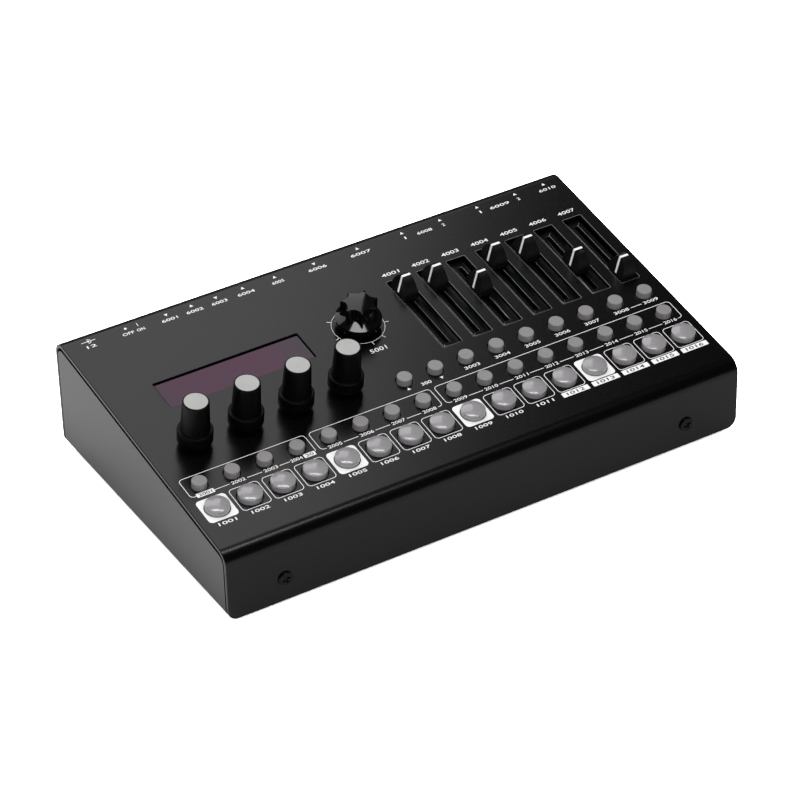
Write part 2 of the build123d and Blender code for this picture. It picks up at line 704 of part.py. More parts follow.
def fader_body():
    """Fader frame with its well, and the steel plate with the slot that guides the lever."""
    plate_top = -FADER_PLATE_DROP
    frame_top = plate_top - FADER_PLATE_SHEET
    frame = block(FADER_BODY_WIDTH, FADER_BODY_LENGTH, -CONTROL_BOARD_DROP, frame_top)
    well_length = FADER_TRAVEL + LEVER_LENGTH + 2 * FADER_WIPER_SIDE_GAP
    well_floor = -CONTROL_BOARD_DROP + FADER_WELL_FLOOR
    frame -= block(FADER_WELL_WIDTH, well_length, well_floor, frame_top)
    plate = block(FADER_PLATE_WIDTH, FADER_PLATE_LENGTH, frame_top, plate_top)
    plate -= block(FADER_CHANNEL_WIDTH, well_length, frame_top, plate_top)
    return [frame, plate]


# ---- encoders and their knobs ----
def encoder_shaft(reach):
    """Shaft from inside the encoder up into the knob, with its flat above the bushing."""
    bottom = -CONTROL_BOARD_DROP + 2 * SHAFT_FLOOR
    shaft = disc(SHAFT_DIAMETER, bottom, reach)
    flat = block(SHAFT_DIAMETER, SHAFT_DIAMETER, BUSHING_HEIGHT + 2 * SHAFT_CLEARANCE, reach)
    return shaft - Pos(0, SHAFT_DIAMETER - SHAFT_FLAT, 0) * flat


def shaft_bore(bottom, top):
    """Bore of a knob for the flatted shaft."""
    bore = disc(SHAFT_DIAMETER + 2 * SHAFT_CLEARANCE, bottom, top)
    flat = block(2 * SHAFT_DIAMETER, SHAFT_DIAMETER, bottom, top)
    return bore - Pos(0, SHAFT_DIAMETER - SHAFT_FLAT + SHAFT_CLEARANCE, 0) * flat


def bushing_recess(bottom):
    """Room in a knob's underside for the encoder's bushing."""
    return disc(
        BUSHING_DIAMETER + 2 * KNOB_RECESS_CLEARANCE, bottom, BUSHING_HEIGHT + KNOB_RECESS_CLEARANCE
    )


def knob_groove():
    """Groove round the skirt, above the foot ring, with a sloping lower side."""
    outer = KNOB_SKIRT_DIAMETER / 2
    inner = outer - KNOB_GROOVE_DEPTH
    lower = KNOB_BOTTOM + KNOB_FOOT_RING
    upper = lower + KNOB_GROOVE_WIDTH
    section = Polyline(
        (inner, lower + KNOB_GROOVE_FALL), (outer, lower), (outer, upper), (inner, upper), close=True
    )
    return revolve(Plane.XZ * make_face(section), Axis.Z)


def encoder_knob(number):
    """Tall slim knob with a wide skirt, its flat cap insert and the encoder's shaft."""
    skirt_top = KNOB_BOTTOM + KNOB_SKIRT_THICKNESS
    skirt = disc(KNOB_SKIRT_DIAMETER, KNOB_BOTTOM, skirt_top)
    grip = Pos(0, 0, (skirt_top + KNOB_TOP) / 2) * Cone(
        KNOB_GRIP_LOWER_DIAMETER / 2, KNOB_GRIP_UPPER_DIAMETER / 2, KNOB_TOP - skirt_top
    )
    knob = skirt + grip
    root = knob.edges().filter_by(GeomType.CIRCLE).group_by(Axis.Z)[1].sort_by(SortBy.RADIUS)[0]
    knob = fillet(root, KNOB_ROOT_RADIUS)
    rim = knob.edges().filter_by(GeomType.CIRCLE).group_by(Axis.Z)[1].sort_by(SortBy.RADIUS)[-1]
    knob = fillet(rim, KNOB_SKIRT_EDGE)
    knob = chamfer(knob.edges().group_by(Axis.Z)[-1], KNOB_TOP_CHAMFER)
    knob -= knob_groove()
    seat = KNOB_TOP - KNOB_INSERT_THICKNESS
    knob -= disc(KNOB_INSERT_DIAMETER + 2 * KNOB_INSERT_CLEARANCE, seat, KNOB_TOP)
    reach = KNOB_BOTTOM + KNOB_SHAFT_REACH
    knob -= shaft_bore(KNOB_BOTTOM, reach)
    knob -= bushing_recess(KNOB_BOTTOM)
    insert = disc(KNOB_INSERT_DIAMETER, seat, KNOB_TOP)
    place = on_panel(*encoder_places()[number])
    return [place * knob, place * insert, place * encoder_shaft(reach)]


def data_knob():
    """Glossy fluted knob on a coned rim, and the encoder's shaft."""
    rim_radius = DATA_RIM_DIAMETER / 2
    rim_top = DATA_KNOB_BOTTOM + DATA_RIM_HEIGHT
    cone_top = rim_top + rim_radius * DATA_CONE_RISE
    skirt_section = Polyline(
        (0, DATA_KNOB_BOTTOM), (rim_radius, DATA_KNOB_BOTTOM), (rim_radius, rim_top), (0, cone_top),
        close=True,
    )
    skirt = revolve(Plane.XZ * make_face(skirt_section), Axis.Z)
    flute_axis = DATA_FLUTE_FLOOR_RADIUS + DATA_FLUTE_RADIUS
    flute = Pos(flute_axis, 0, 0) * disc(2 * DATA_FLUTE_RADIUS, DATA_KNOB_BOTTOM, DATA_KNOB_TOP)
    grip = disc(DATA_GRIP_DIAMETER, DATA_KNOB_BOTTOM, DATA_KNOB_TOP)
    grip &= Pos(0, 0, DATA_KNOB_TOP - DATA_CROWN_RADIUS) * Sphere(DATA_CROWN_RADIUS)
    turns = [DATA_FLUTE_TURN + 360 / DATA_FLUTES * number for number in range(DATA_FLUTES)]
    grip -= [Rot(0, 0, turn) * flute for turn in turns]
    crown = grip.faces().filter_by(GeomType.SPHERE)[0]
    grip = fillet(crown.edges(), DATA_TOP_EDGE)
    reach = DATA_KNOB_BOTTOM + DATA_SHAFT_REACH
    knob = skirt + grip - shaft_bore(DATA_KNOB_BOTTOM, reach)
    knob -= bushing_recess(DATA_KNOB_BOTTOM)
    place = on_panel(*data_encoder_place())
    return [place * knob, place * encoder_shaft(reach)]


def encoder_body():
    """Encoder can with its threaded bushing, washer and nut on the panel."""
    can = block(ENCODER_BODY_WIDTH, ENCODER_BODY_LENGTH, -CONTROL_BOARD_DROP, -SHELL_SHEET)
    can += disc(BUSHING_DIAMETER, -SHELL_SHEET, BUSHING_HEIGHT)
    can -= disc(SHAFT_DIAMETER + 2 * SHAFT_CLEARANCE, -CONTROL_BOARD_DROP + SHAFT_FLOOR, BUSHING_HEIGHT)
    thread = BUSHING_DIAMETER + 2 * THREAD_CLEARANCE
    nut_top = WASHER_THICKNESS + PANEL_NUT_HEIGHT
    washer = disc(WASHER_DIAMETER, 0, WASHER_THICKNESS) - disc(thread, 0, WASHER_THICKNESS)
    nut = hexagon(PANEL_NUT_ACROSS_FLATS, WASHER_THICKNESS, nut_top)
    nut -= disc(thread, WASHER_THICKNESS, nut_top)
    return [can, washer, Rot(0, 0, PANEL_NUT_TURN) * nut]


# ---- circuit boards ----
def tact_switch():
    """Switch under a button, with the well for its plunger."""
    body = block(TACT_SIZE, TACT_SIZE, -CONTROL_BOARD_DROP, tact_top())
    return body - disc(PLUNGER_DIAMETER + 2 * PLUNGER_CLEARANCE, tact_floor(), tact_top())


def display_module():
    """Glass behind the window, stepped up into it, its carrier board and four spacers."""
    glass_top = -SHELL_SHEET - GLASS_GAP
    glass_bottom = glass_top - GLASS_THICKNESS
    carrier_bottom = glass_bottom - BOARD_THICKNESS
    glass = block(GLASS_WIDTH, GLASS_HEIGHT, glass_bottom, glass_top)
    step_width = WINDOW_WIDTH - 2 * GLASS_STEP_CLEARANCE
    step_height = WINDOW_HEIGHT - 2 * GLASS_STEP_CLEARANCE
    glass += rounded_block(step_width, step_height, WINDOW_CORNER, glass_top, -GLASS_STEP_DROP)
    carrier = block(MODULE_WIDTH, MODULE_HEIGHT, carrier_bottom, glass_bottom)
    spacer = disc(MODULE_SPACER_DIAMETER, -CONTROL_BOARD_DROP, carrier_bottom)
    reach_u = MODULE_WIDTH / 2 - MODULE_SPACER_INSET
    reach_v = MODULE_HEIGHT / 2 - MODULE_SPACER_INSET
    spacers = [Pos(a * reach_u, b * reach_v, 0) * spacer for a in (-1, 1) for b in (-1, 1)]
    return [glass, carrier, *spacers]


def control_board():
    """Board behind the panel, with its studs, screws and everything soldered to it."""
    width = CASE_WIDTH - 2 * (TRAY_SHEET + CONTROL_BOARD_SIDE_GAP)
    length = CONTROL_BOARD_BACK_V - CONTROL_BOARD_FRONT_V
    middle_u = CASE_HALF - FIRST_COLUMN_FROM_SIDE
    middle_v = (CONTROL_BOARD_BACK_V + CONTROL_BOARD_FRONT_V) / 2
    board = block(width, length, CONTROL_BOARD_BOTTOM, -CONTROL_BOARD_DROP)
    solids = [on_panel(middle_u, middle_v) * board]
    stud = hexagon(BOARD_STUD_ACROSS_FLATS, -CONTROL_BOARD_DROP, -SHELL_SHEET)
    head_bottom = CONTROL_BOARD_BOTTOM - BOARD_SCREW_HEAD_HEIGHT
    head = disc(BOARD_SCREW_HEAD, head_bottom, CONTROL_BOARD_BOTTOM)
    for column in BOARD_STUD_COLUMNS:
        for v in BOARD_STUDS_V:
            place = on_panel(column * COLUMN_PITCH, v)
            solids += [place * stud, place * head]
    solids += [on_panel(u, v) * tact_switch() for u, v in step_places() + small_places()]
    lamp_width, lamp_length, lamp_height = STEP_LAMP
    lamp = block(lamp_width, lamp_length, -CONTROL_BOARD_DROP, -CONTROL_BOARD_DROP + lamp_height)
    solids += [on_panel(u + STEP_LAMP_OFFSET, v) * lamp for u, v in step_places()]
    for u in fader_columns():
        solids += [on_panel(u, FADER_MIDDLE_V) * piece for piece in fader_body()]
    for u, v in encoder_places():
        solids += [on_panel(u, v) * piece for piece in encoder_body()]
    solids += [on_panel(*WINDOW_MIDDLE) * piece for piece in display_module()]
    chip_bottom = CONTROL_BOARD_BOTTOM - PROCESSOR_HEIGHT
    chip = block(PROCESSOR_SIZE, PROCESSOR_SIZE, chip_bottom, CONTROL_BOARD_BOTTOM)
    solids.append(on_panel(PROCESSOR_U, PROCESSOR_V) * chip)
    return solids


def rear_board():
    """Board under the sockets, on standoffs from the tray."""
    width = CASE_WIDTH - 2 * REAR_BOARD_SIDE_GAP
    back = BACK_WALL_Y - REAR_BOARD_WALL_GAP
    middle = back - REAR_BOARD_DEPTH / 2
    solids = [Pos(0, middle, 0) * block(width, REAR_BOARD_DEPTH, REAR_BOARD_HEIGHT, REAR_BOARD_TOP_Z)]
    standoff = hexagon(REAR_STANDOFF_ACROSS_FLATS, TRAY_FLOOR_Z, REAR_BOARD_HEIGHT)
    near = back - REAR_BOARD_DEPTH + REAR_STANDOFF_INSET
    far = back - 2 * REAR_STANDOFF_INSET
    for column in REAR_STANDOFF_COLUMNS:
        x = column_x(column)
        solids += [Pos(x, y, 0) * standoff for y in (near, far)]
    can = disc(CAPACITOR_DIAMETER, REAR_BOARD_TOP_Z, REAR_BOARD_TOP_Z + CAPACITOR_HEIGHT)
    can_y = near + CAPACITOR_DIAMETER
    solids += [Pos(column_x(column), can_y, 0) * can for column in CAPACITOR_COLUMNS]
    return solids


def ribbon_cable():
    """Flat cable from the rear board's plug up to the plug under the control board."""
    plug_y = BACK_WALL_Y - REAR_BOARD_WALL_GAP - REAR_BOARD_DEPTH + RIBBON_PLUG_DEPTH
    lower_top = REAR_BOARD_TOP_Z + RIBBON_PLUG_HEIGHT
    lower = Pos(RIBBON_X, plug_y, 0) * block(
        RIBBON_PLUG_WIDTH, RIBBON_PLUG_DEPTH, REAR_BOARD_TOP_Z, lower_top
    )
    upper_u = RIBBON_X - FIRST_COLUMN_X
    upper_v = (plug_y - ROW_1_Y) / math.cos(SLOPE) - RIBBON_STEP_FORWARD
    upper_bottom = CONTROL_BOARD_BOTTOM - RIBBON_PLUG_HEIGHT
    upper = on_panel(upper_u, upper_v) * block(
        RIBBON_PLUG_WIDTH, RIBBON_PLUG_DEPTH, upper_bottom, CONTROL_BOARD_BOTTOM
    )
    exit_point = on_panel(upper_u, upper_v, upper_bottom).position
    middle_z = (lower_top + exit_point.Z) / 2
    path = FilletPolyline(
        (plug_y, lower_top),
        (plug_y, middle_z),
        (exit_point.Y + (exit_point.Z - middle_z) * math.tan(SLOPE), middle_z),
        (exit_point.Y, exit_point.Z),
        radius=2 * RIBBON_THICKNESS,
    )
    strip = extrude(Plane.YZ * trace(path, RIBBON_THICKNESS), RIBBON_WIDTH / 2, both=True)
    strip = Pos(RIBBON_X, 0, 0) * strip
    return [lower, upper, strip - [lower, upper]]


# ---- sockets ----
def output_axis_z():
    return REAR_BOARD_TOP_Z + OUTPUT_BODY[2] / 2


def mini_axis_z():
    return REAR_BOARD_TOP_Z + MINI_BODY[2] / 2


def din_axis_z():
    return REAR_BOARD_TOP_Z + DIN_BODY[2] / 2


def power_inlet_axis_z():
    return REAR_BOARD_TOP_Z + POWER_INLET_BODY[2] / 2


def card_axis_z():
    return REAR_BOARD_TOP_Z + CARD_BODY[2] / 2


def switch_axis_z():
    return REAR_BOARD_TOP_Z + SWITCH_BODY[2] / 2


def socket_body(size):
    """Box behind the back flap with its front face on the flap; Z points out of the case."""
    width, depth, height = size
    return block(width, height, -depth, 0)


def output_socket():
    """Quarter-inch jack: body with threaded bushing."""
    mouth = SHELL_SHEET + OUTPUT_PROUD
    body = socket_body(OUTPUT_BODY) + disc(OUTPUT_BUSHING, 0, mouth)
    return body - disc(OUTPUT_BORE, OUTPUT_END_WALL - OUTPUT_BODY[1], mouth)


def output_fixings():
    """Washer and hexagonal nut on a quarter-inch jack's bushing."""
    thread = OUTPUT_BUSHING + 2 * THREAD_CLEARANCE
    washer_top = SHELL_SHEET + OUTPUT_WASHER_THICKNESS
    nut_top = washer_top + OUTPUT_NUT_HEIGHT
    washer = disc(OUTPUT_WASHER, SHELL_SHEET, washer_top) - disc(thread, SHELL_SHEET, washer_top)
    nut = hexagon(OUTPUT_NUT_ACROSS_FLATS, washer_top, nut_top) - disc(thread, washer_top, nut_top)
    return [washer, nut]


def mini_socket():
    """3.5 mm jack: body with threaded bushing."""
    mouth = SHELL_SHEET + MINI_PROUD
    body = socket_body(MINI_BODY) + disc(MINI_BUSHING, 0, mouth)
    return body - disc(MINI_BORE, MINI_END_WALL - MINI_BODY[1], mouth)


def mini_nut():
    """Slotted round nut on a 3.5 mm jack's bushing."""
    nut_top = SHELL_SHEET + MINI_NUT_HEIGHT
    nut = disc(MINI_NUT, SHELL_SHEET, nut_top)
    nut -= disc(MINI_BUSHING + 2 * THREAD_CLEARANCE, SHELL_SHEET, nut_top)
    return nut - block(MINI_NUT_SLOT, MINI_NUT, nut_top - MINI_NUT_SLOT, nut_top)


def din_socket():
    """Five-pole round socket with a recessed core."""
    body = socket_body(DIN_BODY) - disc(DIN_MOUTH, -DIN_MOUTH_DEPTH, 0)
    groove = disc(DIN_MOUTH, -DIN_MOUTH_DEPTH - DIN_GROOVE_DEPTH, -DIN_MOUTH_DEPTH)
    groove -= disc(DIN_CORE, -DIN_MOUTH_DEPTH - DIN_GROOVE_DEPTH, -DIN_MOUTH_DEPTH)
    hole = disc(DIN_PIN_HOLE, -DIN_MOUTH_DEPTH - DIN_PIN_DEPTH, -DIN_MOUTH_DEPTH)
    pins = [
        Rot(0, 0, number * DIN_PIN_STEP) * Pos(DIN_PIN_CIRCLE / 2, 0, 0) * hole
        for number in range(DIN_PIN_COUNT)
    ]
    return body - groove - pins


def usb_socket():
    """Square USB socket: metal shell around a tongue."""
    front = SHELL_SHEET - USB_SET_BACK
    width, depth, height = USB_BODY
    body = block(width, height, front - depth, front)
    mouth = Rectangle(USB_CAVITY_WIDTH, USB_CAVITY_HEIGHT)
    mouth = chamfer(mouth.vertices().group_by(Axis.Y)[0], USB_CAVITY_CHAMFER)
    back = front - USB_CAVITY_DEPTH
    body -= Pos(0, 0, back) * extrude(mouth, USB_CAVITY_DEPTH)
    tongue = block(USB_TONGUE_WIDTH, USB_TONGUE_HEIGHT, back, back + USB_TONGUE_LENGTH)
    return body + tongue


def card_socket():
    """Thin memory-card socket with its slot."""
    body = socket_body(CARD_BODY)
    return body - block(CARD_SLOT_WIDTH, CARD_SLOT_HEIGHT, -CARD_SLOT_DEPTH, 0)


def power_inlet():
    """Round low-voltage inlet with its centre pin."""
    body = socket_body(POWER_INLET_BODY) - disc(POWER_INLET_BORE, -POWER_INLET_DEPTH, 0)
    pin = disc(POWER_INLET_PIN, -POWER_INLET_DEPTH, -POWER_INLET_DEPTH + POWER_INLET_PIN_LENGTH)
    return body + pin


def carriage_way():
    """Length of the power switch's inner way, which its carriage runs along."""
    return SWITCH_CARRIAGE_LENGTH + SWITCH_TRAVEL + 2 * SWITCH_RUNNING_GAP


def switch_body():
    """Slide switch body with the way for its carriage and the slot for its nub."""
    body = socket_body(SWITCH_BODY)
    way_height = SWITCH_CARRIAGE_HEIGHT + 2 * SWITCH_RUNNING_GAP
    way_bottom = -SWITCH_WALL - SWITCH_CARRIAGE_DEPTH - SWITCH_RUNNING_GAP
    body -= block(carriage_way(), way_height, way_bottom, -SWITCH_WALL + SWITCH_RUNNING_GAP)
    nub_way = SWITCH_NUB_WIDTH + SWITCH_TRAVEL + 2 * SWITCH_NUB_CLEARANCE
    return body - block(nub_way, SWITCH_NUB_HEIGHT + 2 * SWITCH_RUNNING_GAP, -SWITCH_WALL, 0)


def power_switch():
    """Sliding nub of the power switch and the carriage behind it, at rest in its off place."""
    top = SHELL_SHEET + SWITCH_NUB_PROUD
    slider = block(
        SWITCH_CARRIAGE_LENGTH, SWITCH_CARRIAGE_HEIGHT, -SWITCH_WALL - SWITCH_CARRIAGE_DEPTH, -SWITCH_WALL
    )
    slider += block(SWITCH_NUB_WIDTH, SWITCH_NUB_HEIGHT, -SWITCH_WALL, top)
    x = column_x(SWITCH_COLUMN) - SWITCH_TRAVEL / 2
    return [out_of_back(x, BACK_WALL_Y, switch_axis_z()) * slider]


def rear_connectors():
    """All sockets behind the back flap."""
    solids = []
    for x in output_places():
        solids.append(out_of_back(x, BACK_WALL_Y, output_axis_z()) * output_socket())
    for x in mini_jack_places():
        solids.append(out_of_back(x, BACK_WALL_Y, mini_axis_z()) * mini_socket())
    for x in din_places():
        solids.append(out_of_back(x, BACK_WALL_Y, din_axis_z()) * din_socket())
    usb_z = REAR_BOARD_TOP_Z + USB_BODY[2] / 2
    solids.append(out_of_back(column_x(USB_COLUMN), BACK_WALL_Y, usb_z) * usb_socket())
    solids.append(out_of_back(column_x(CARD_COLUMN), BACK_WALL_Y, card_axis_z()) * card_socket())
    solids.append(out_of_back(column_x(POWER_INLET_COLUMN), BACK_WALL_Y, power_inlet_axis_z()) * power_inlet())
    solids.append(out_of_back(column_x(SWITCH_COLUMN), BACK_WALL_Y, switch_axis_z()) * switch_body())
    return solids


def jack_fixings():
    """Nuts and washers that hold the jacks in the back flap."""
    solids = []
    for x in output_places():
        place = out_of_back(x, BACK_WALL_Y, output_axis_z())
        solids += [place * piece for piece in output_fixings()]
    for x in mini_jack_places():
        solids.append(out_of_back(x, BACK_WALL_Y, mini_axis_z()) * mini_nut())
    return solids


# ---- the whole machine ----
def machine():
    """Every sub-part by name, each a list of solids."""
    nodes = {
        "top_shell": [top_shell()],
        "bottom_tray": [bottom_tray()],
        "fasteners": case_screws() + jack_fixings(),
        "rubber_feet": rubber_feet(),
        "circuit_boards": control_board() + rear_board() + ribbon_cable(),
        "rear_connectors": rear_connectors(),
        "power_switch": power_switch(),
        "data_knob": data_knob(),
    }
    for number in range(ENCODER_COUNT):
        nodes[f"encoder_knob_{number + 1}"] = encoder_knob(number)
    for number in range(FADER_COUNT):
        nodes[f"fader_cap_{number + 1}"] = fader_cap(number)
    for number, place in enumerate(step_places()):
        nodes[f"step_button_{number + 1:02d}"] = step_button(*place)
    for number, place in enumerate(function_places()):
        nodes[f"function_button_{number + 1:02d}"] = small_button(*place)
    for number, place in enumerate(mode_places()):
        nodes[f"mode_button_{number + 1}"] = small_button(*place)
    return nodes


def solids_of(pieces):
    """Flat list of the solids in a list of shapes."""
    return [solid for piece in pieces for solid in piece.solids()]


os.makedirs("parts", exist_ok=True)
for name, pieces in machine().items():
    export_step(Compound(children=solids_of(pieces)), f"parts/{name}.step")
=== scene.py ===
"""Looks of a desktop drum machine: finishes, printed marks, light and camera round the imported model."""
import json
import math

import bpy
from mathutils import Matrix, Vector

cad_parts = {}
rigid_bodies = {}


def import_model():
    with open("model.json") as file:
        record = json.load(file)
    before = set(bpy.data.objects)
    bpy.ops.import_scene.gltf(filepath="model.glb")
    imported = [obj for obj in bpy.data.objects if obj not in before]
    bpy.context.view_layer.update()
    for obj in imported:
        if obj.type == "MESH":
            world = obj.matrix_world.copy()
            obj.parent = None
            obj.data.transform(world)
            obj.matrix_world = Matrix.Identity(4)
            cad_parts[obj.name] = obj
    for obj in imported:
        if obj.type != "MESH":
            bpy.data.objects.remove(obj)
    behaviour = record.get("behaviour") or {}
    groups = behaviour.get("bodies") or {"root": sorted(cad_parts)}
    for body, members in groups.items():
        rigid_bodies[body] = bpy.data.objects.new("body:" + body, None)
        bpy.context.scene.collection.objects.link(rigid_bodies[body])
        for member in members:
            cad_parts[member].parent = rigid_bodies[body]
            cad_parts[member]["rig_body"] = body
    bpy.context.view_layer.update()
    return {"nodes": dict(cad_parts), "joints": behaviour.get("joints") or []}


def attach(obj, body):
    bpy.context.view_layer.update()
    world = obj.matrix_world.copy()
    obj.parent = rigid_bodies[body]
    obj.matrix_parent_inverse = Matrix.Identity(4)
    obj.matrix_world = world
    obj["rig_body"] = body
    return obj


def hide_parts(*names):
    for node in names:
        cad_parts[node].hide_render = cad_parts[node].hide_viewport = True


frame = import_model()

MM = 0.001
NODES = frame["nodes"]
JOINT_AXES = {joint["name"]: Vector(joint["axis"]) for joint in frame["joints"]}

# ---- the sloping panel ----
# Places on the panel are (u, v, h) in millimetres: u to the right and v up the slope from the middle
# of the first step button, h out of the painted surface.
RIGHT = Vector((1, 0, 0))
UP_SLOPE = JOINT_AXES["fader_1_slide"]
OUT = JOINT_AXES["encoder_1_turn"]
STEPS = [f"step_button_{number:02d}" for number in range(1, 17)]
FUNCTIONS = [f"function_button_{number:02d}" for number in range(1, 17)]
MODES = [f"mode_button_{number}" for number in range(1, 10)]
FADERS = [f"fader_cap_{number}" for number in range(1, 8)]
KNOBS = [f"encoder_knob_{number}" for number in range(1, 5)]


def reach(node, direction):
    """Lowest and highest place of a node's mesh along a direction, in metres."""
    places = [direction.dot(vertex.co) for vertex in NODES[node].data.vertices]
    return min(places), max(places)


def middle(node, direction):
    """Place halfway between a node's lowest and highest place along a direction, in metres."""
    low, high = reach(node, direction)
    return (low + high) / 2


def panel_matrix():
    """From panel places in millimetres to the frame in metres."""
    origin = (
        RIGHT * middle(STEPS[0], RIGHT)
        + UP_SLOPE * middle(STEPS[0], UP_SLOPE)
        + OUT * reach("top_shell", OUT)[1]
    )
    turned = Matrix((RIGHT, UP_SLOPE, OUT)).transposed().to_4x4()
    return Matrix.Translation(origin) @ turned @ Matrix.Scale(MM, 4)


PANEL = panel_matrix()
TO_PANEL = PANEL.inverted()


def panel_place(node):
    """Middle of a node on the panel, as (u, v)."""
    place = TO_PANEL @ (RIGHT * middle(node, RIGHT) + UP_SLOPE * middle(node, UP_SLOPE))
    return place.x, place.y


# ---- shader arithmetic ----
class Signal:
    """A node's output that takes part in arithmetic; every operation adds its Math node."""

    def __init__(self, nodes, socket):
        self.nodes = nodes
        self.socket = socket

    def math(self, operation, *values):
        return self.nodes.add("ShaderNodeMath", {"operation": operation}, values)

    def __add__(self, other):
        return self.math("ADD", self, other)

    __radd__ = __add__

    def __mul__(self, other):
        return self.math("MULTIPLY", self, other)

    __rmul__ = __mul__

    def over(self, low, high):
        """How far the value is between two limits, smoothly from 0 to 1."""
        settings = {"interpolation_type": "SMOOTHSTEP"}
        values = {"Value": self, "From Min": low, "From Max": high}
        return self.nodes.add("ShaderNodeMapRange", settings, values)


class Nodes:
    """A node tree that is built up from here."""

    def __init__(self, tree):
        self.tree = tree

    def feed(self, socket, value):
        """Links a signal to a socket, or sets its value."""
        if isinstance(value, Signal):
            self.tree.links.new(value.socket, socket)
        else:
            socket.default_value = value

    def add(self, kind, settings, values, output=0):
        """Adds a node, sets it up, feeds its sockets by name or number, and gives its output."""
        node = self.tree.nodes.new(kind)
        for key, setting in settings.items():
            setattr(node, key, setting)
        numbered = values.items() if isinstance(values, dict) else enumerate(values)
        for socket, value in numbered:
            self.feed(node.inputs[socket], value)
        return None if output is None else Signal(self, node.outputs[output])

    def place(self):
        """Place on the object, in metres."""
        return self.add("ShaderNodeTexCoord", {}, {}, "Object")

    def ray(self, kind):
        """1 for rays of this kind, such as Is Camera Ray, and 0 for others."""
        return self.add("ShaderNodeLightPath", {}, {}, kind)


class Finish(Nodes):
    """A material built round one Principled shader."""

    def __init__(self, name, color, roughness, **fixed):
        self.material = bpy.data.materials.new(name)
        self.material.use_nodes = True
        super().__init__(self.material.node_tree)
        self.shader = next(node for node in self.tree.nodes if node.type == "BSDF_PRINCIPLED")
        self.material.diffuse_color = (*color, 1)
        self.set("Base Color", (*color, 1))
        self.set("Roughness", roughness)
        for socket, value in fixed.items():
            self.set(socket.replace("_", " "), value)

    def set(self, socket, value):
        """Sets or links one of the shader's sockets."""
        self.feed(self.shader.inputs[socket], value)

    def along(self, direction):
        """Place along a direction, in metres."""
        values = {0: self.place(), 1: tuple(direction)}
        return self.add("ShaderNodeVectorMath", {"operation": "DOT_PRODUCT"}, values, "Value")

    def noise(self, size, detail=2.0):
        """Cloudy pattern from 0 to 1 whose spots are about this many metres wide."""
        values = {"Vector": self.place(), "Scale": 1 / size, "Detail": detail}
        return self.add("ShaderNodeTexNoise", {}, values, "Fac")

    def mix(self, factor, first, second):
        """Colour between two colours."""
        values = {0: factor, 6: (*first, 1), 7: (*second, 1)}
        return self.add("ShaderNodeMix", {"data_type": "RGBA"}, values, 2)

    def grain(self, height, strength, depth):
        """Fine relief: height is a pattern from 0 to 1, depth its full height in metres."""
        values = {"Height": height, "Strength": strength, "Distance": depth}
        self.set("Normal", self.add("ShaderNodeBump", {}, values))


def shade(color, share):
    """A colour, darker or lighter by a share."""
    return tuple(channel * share for channel in color)


def mottled(finish, color, size, spread):
    """Base colour that varies a little from spot to spot."""
    darker = shade(color, 1 - spread)
    lighter = shade(color, 1 + spread)
    finish.set("Base Color", finish.mix(finish.noise(size), darker, lighter))


def uneven(finish, roughness, size, spread, detail=2.0):
    """Roughness that varies a little from spot to spot."""
    finish.set("Roughness", finish.noise(size, detail) * spread + (roughness - spread / 2))


# ---- finishes ----
# Colours are linear, and sizes in the patterns are in metres.
# The display glass is plum in the middle and grey at its ends by place along X: a painted reflection.
PLUM_PAINTED_REFLECTION = (0.061, 0.034, 0.051)
GREY_SHEEN = (0.046, 0.041, 0.047)
PLUM_RISES = (-0.135, -0.1)
PLUM_FALLS = (-0.035, -0.06)
TRACK_EDGES = (0.48, 0.52)
TRACK_LIGHTER = 1.6


def powder_coat():
    """Satin black fine powder coat of the sheet-metal case."""
    color = (0.0011, 0.0011, 0.0012)
    finish = Finish("powder_coat", color, 0.26, Specular_IOR_Level=0.4)
    mottled(finish, color, size=0.03, spread=0.2)
    uneven(finish, 0.26, size=0.0012, spread=0.05, detail=1.0)
    finish.grain(finish.noise(0.0006), strength=0.14, depth=0.00003)
    return finish.material


def ink(name, color):
    """Screen-printed ink, or light grey ink that paints a highlight along an edge."""
    finish = Finish(name, color, 0.5)
    mottled(finish, color, size=0.004, spread=0.03)
    finish.grain(finish.noise(0.0003), strength=0.2, depth=0.00001)
    return finish.material


def milky_dome():
    """Glossy milky light guide of the step buttons."""
    color = (0.28, 0.268, 0.28)
    finish = Finish(
        "milky_dome", color, 0.35, Coat_Weight=1.0, Coat_Roughness=0.05,
        Subsurface_Weight=0.45, Subsurface_Radius=(0.0012, 0.001, 0.001),
    )
    mottled(finish, color, size=0.006, spread=0.06)
    finish.grain(finish.noise(0.004), strength=0.05, depth=0.00008)
    return finish.material


def frosted_cap():
    """Satin frosted plastic of the small round buttons."""
    color = (0.232, 0.224, 0.226)
    finish = Finish(
        "frosted_cap", color, 0.42,
        Subsurface_Weight=0.2, Subsurface_Radius=(0.0008, 0.0007, 0.0007),
    )
    mottled(finish, color, size=0.005, spread=0.06)
    finish.grain(finish.noise(0.0004), strength=0.25, depth=0.00002)
    return finish.material


def moulded(name, color, roughness, spot=0.0005, **fixed):
    """Moulded plastic with a fine spark-eroded grain."""
    finish = Finish(name, color, roughness, **fixed)
    mottled(finish, color, size=0.008, spread=0.12)
    uneven(finish, roughness, size=0.003, spread=0.08)
    finish.grain(finish.noise(spot), strength=0.35, depth=0.00003)
    return finish.material


def polished_black():
    """Polished black of the data knob."""
    color = (0.003, 0.003, 0.0034)
    finish = Finish("polished_black", color, 0.07, Specular_IOR_Level=0.4)
    mottled(finish, color, size=0.01, spread=0.1)
    uneven(finish, 0.075, size=0.004, spread=0.05)
    return finish.material


def metal(name, color, roughness):
    """Plated or brushed metal."""
    finish = Finish(name, color, roughness, Metallic=1.0)
    mottled(finish, color, size=0.005, spread=0.08)
    uneven(finish, roughness, size=0.0004, spread=0.12)
    return finish.material


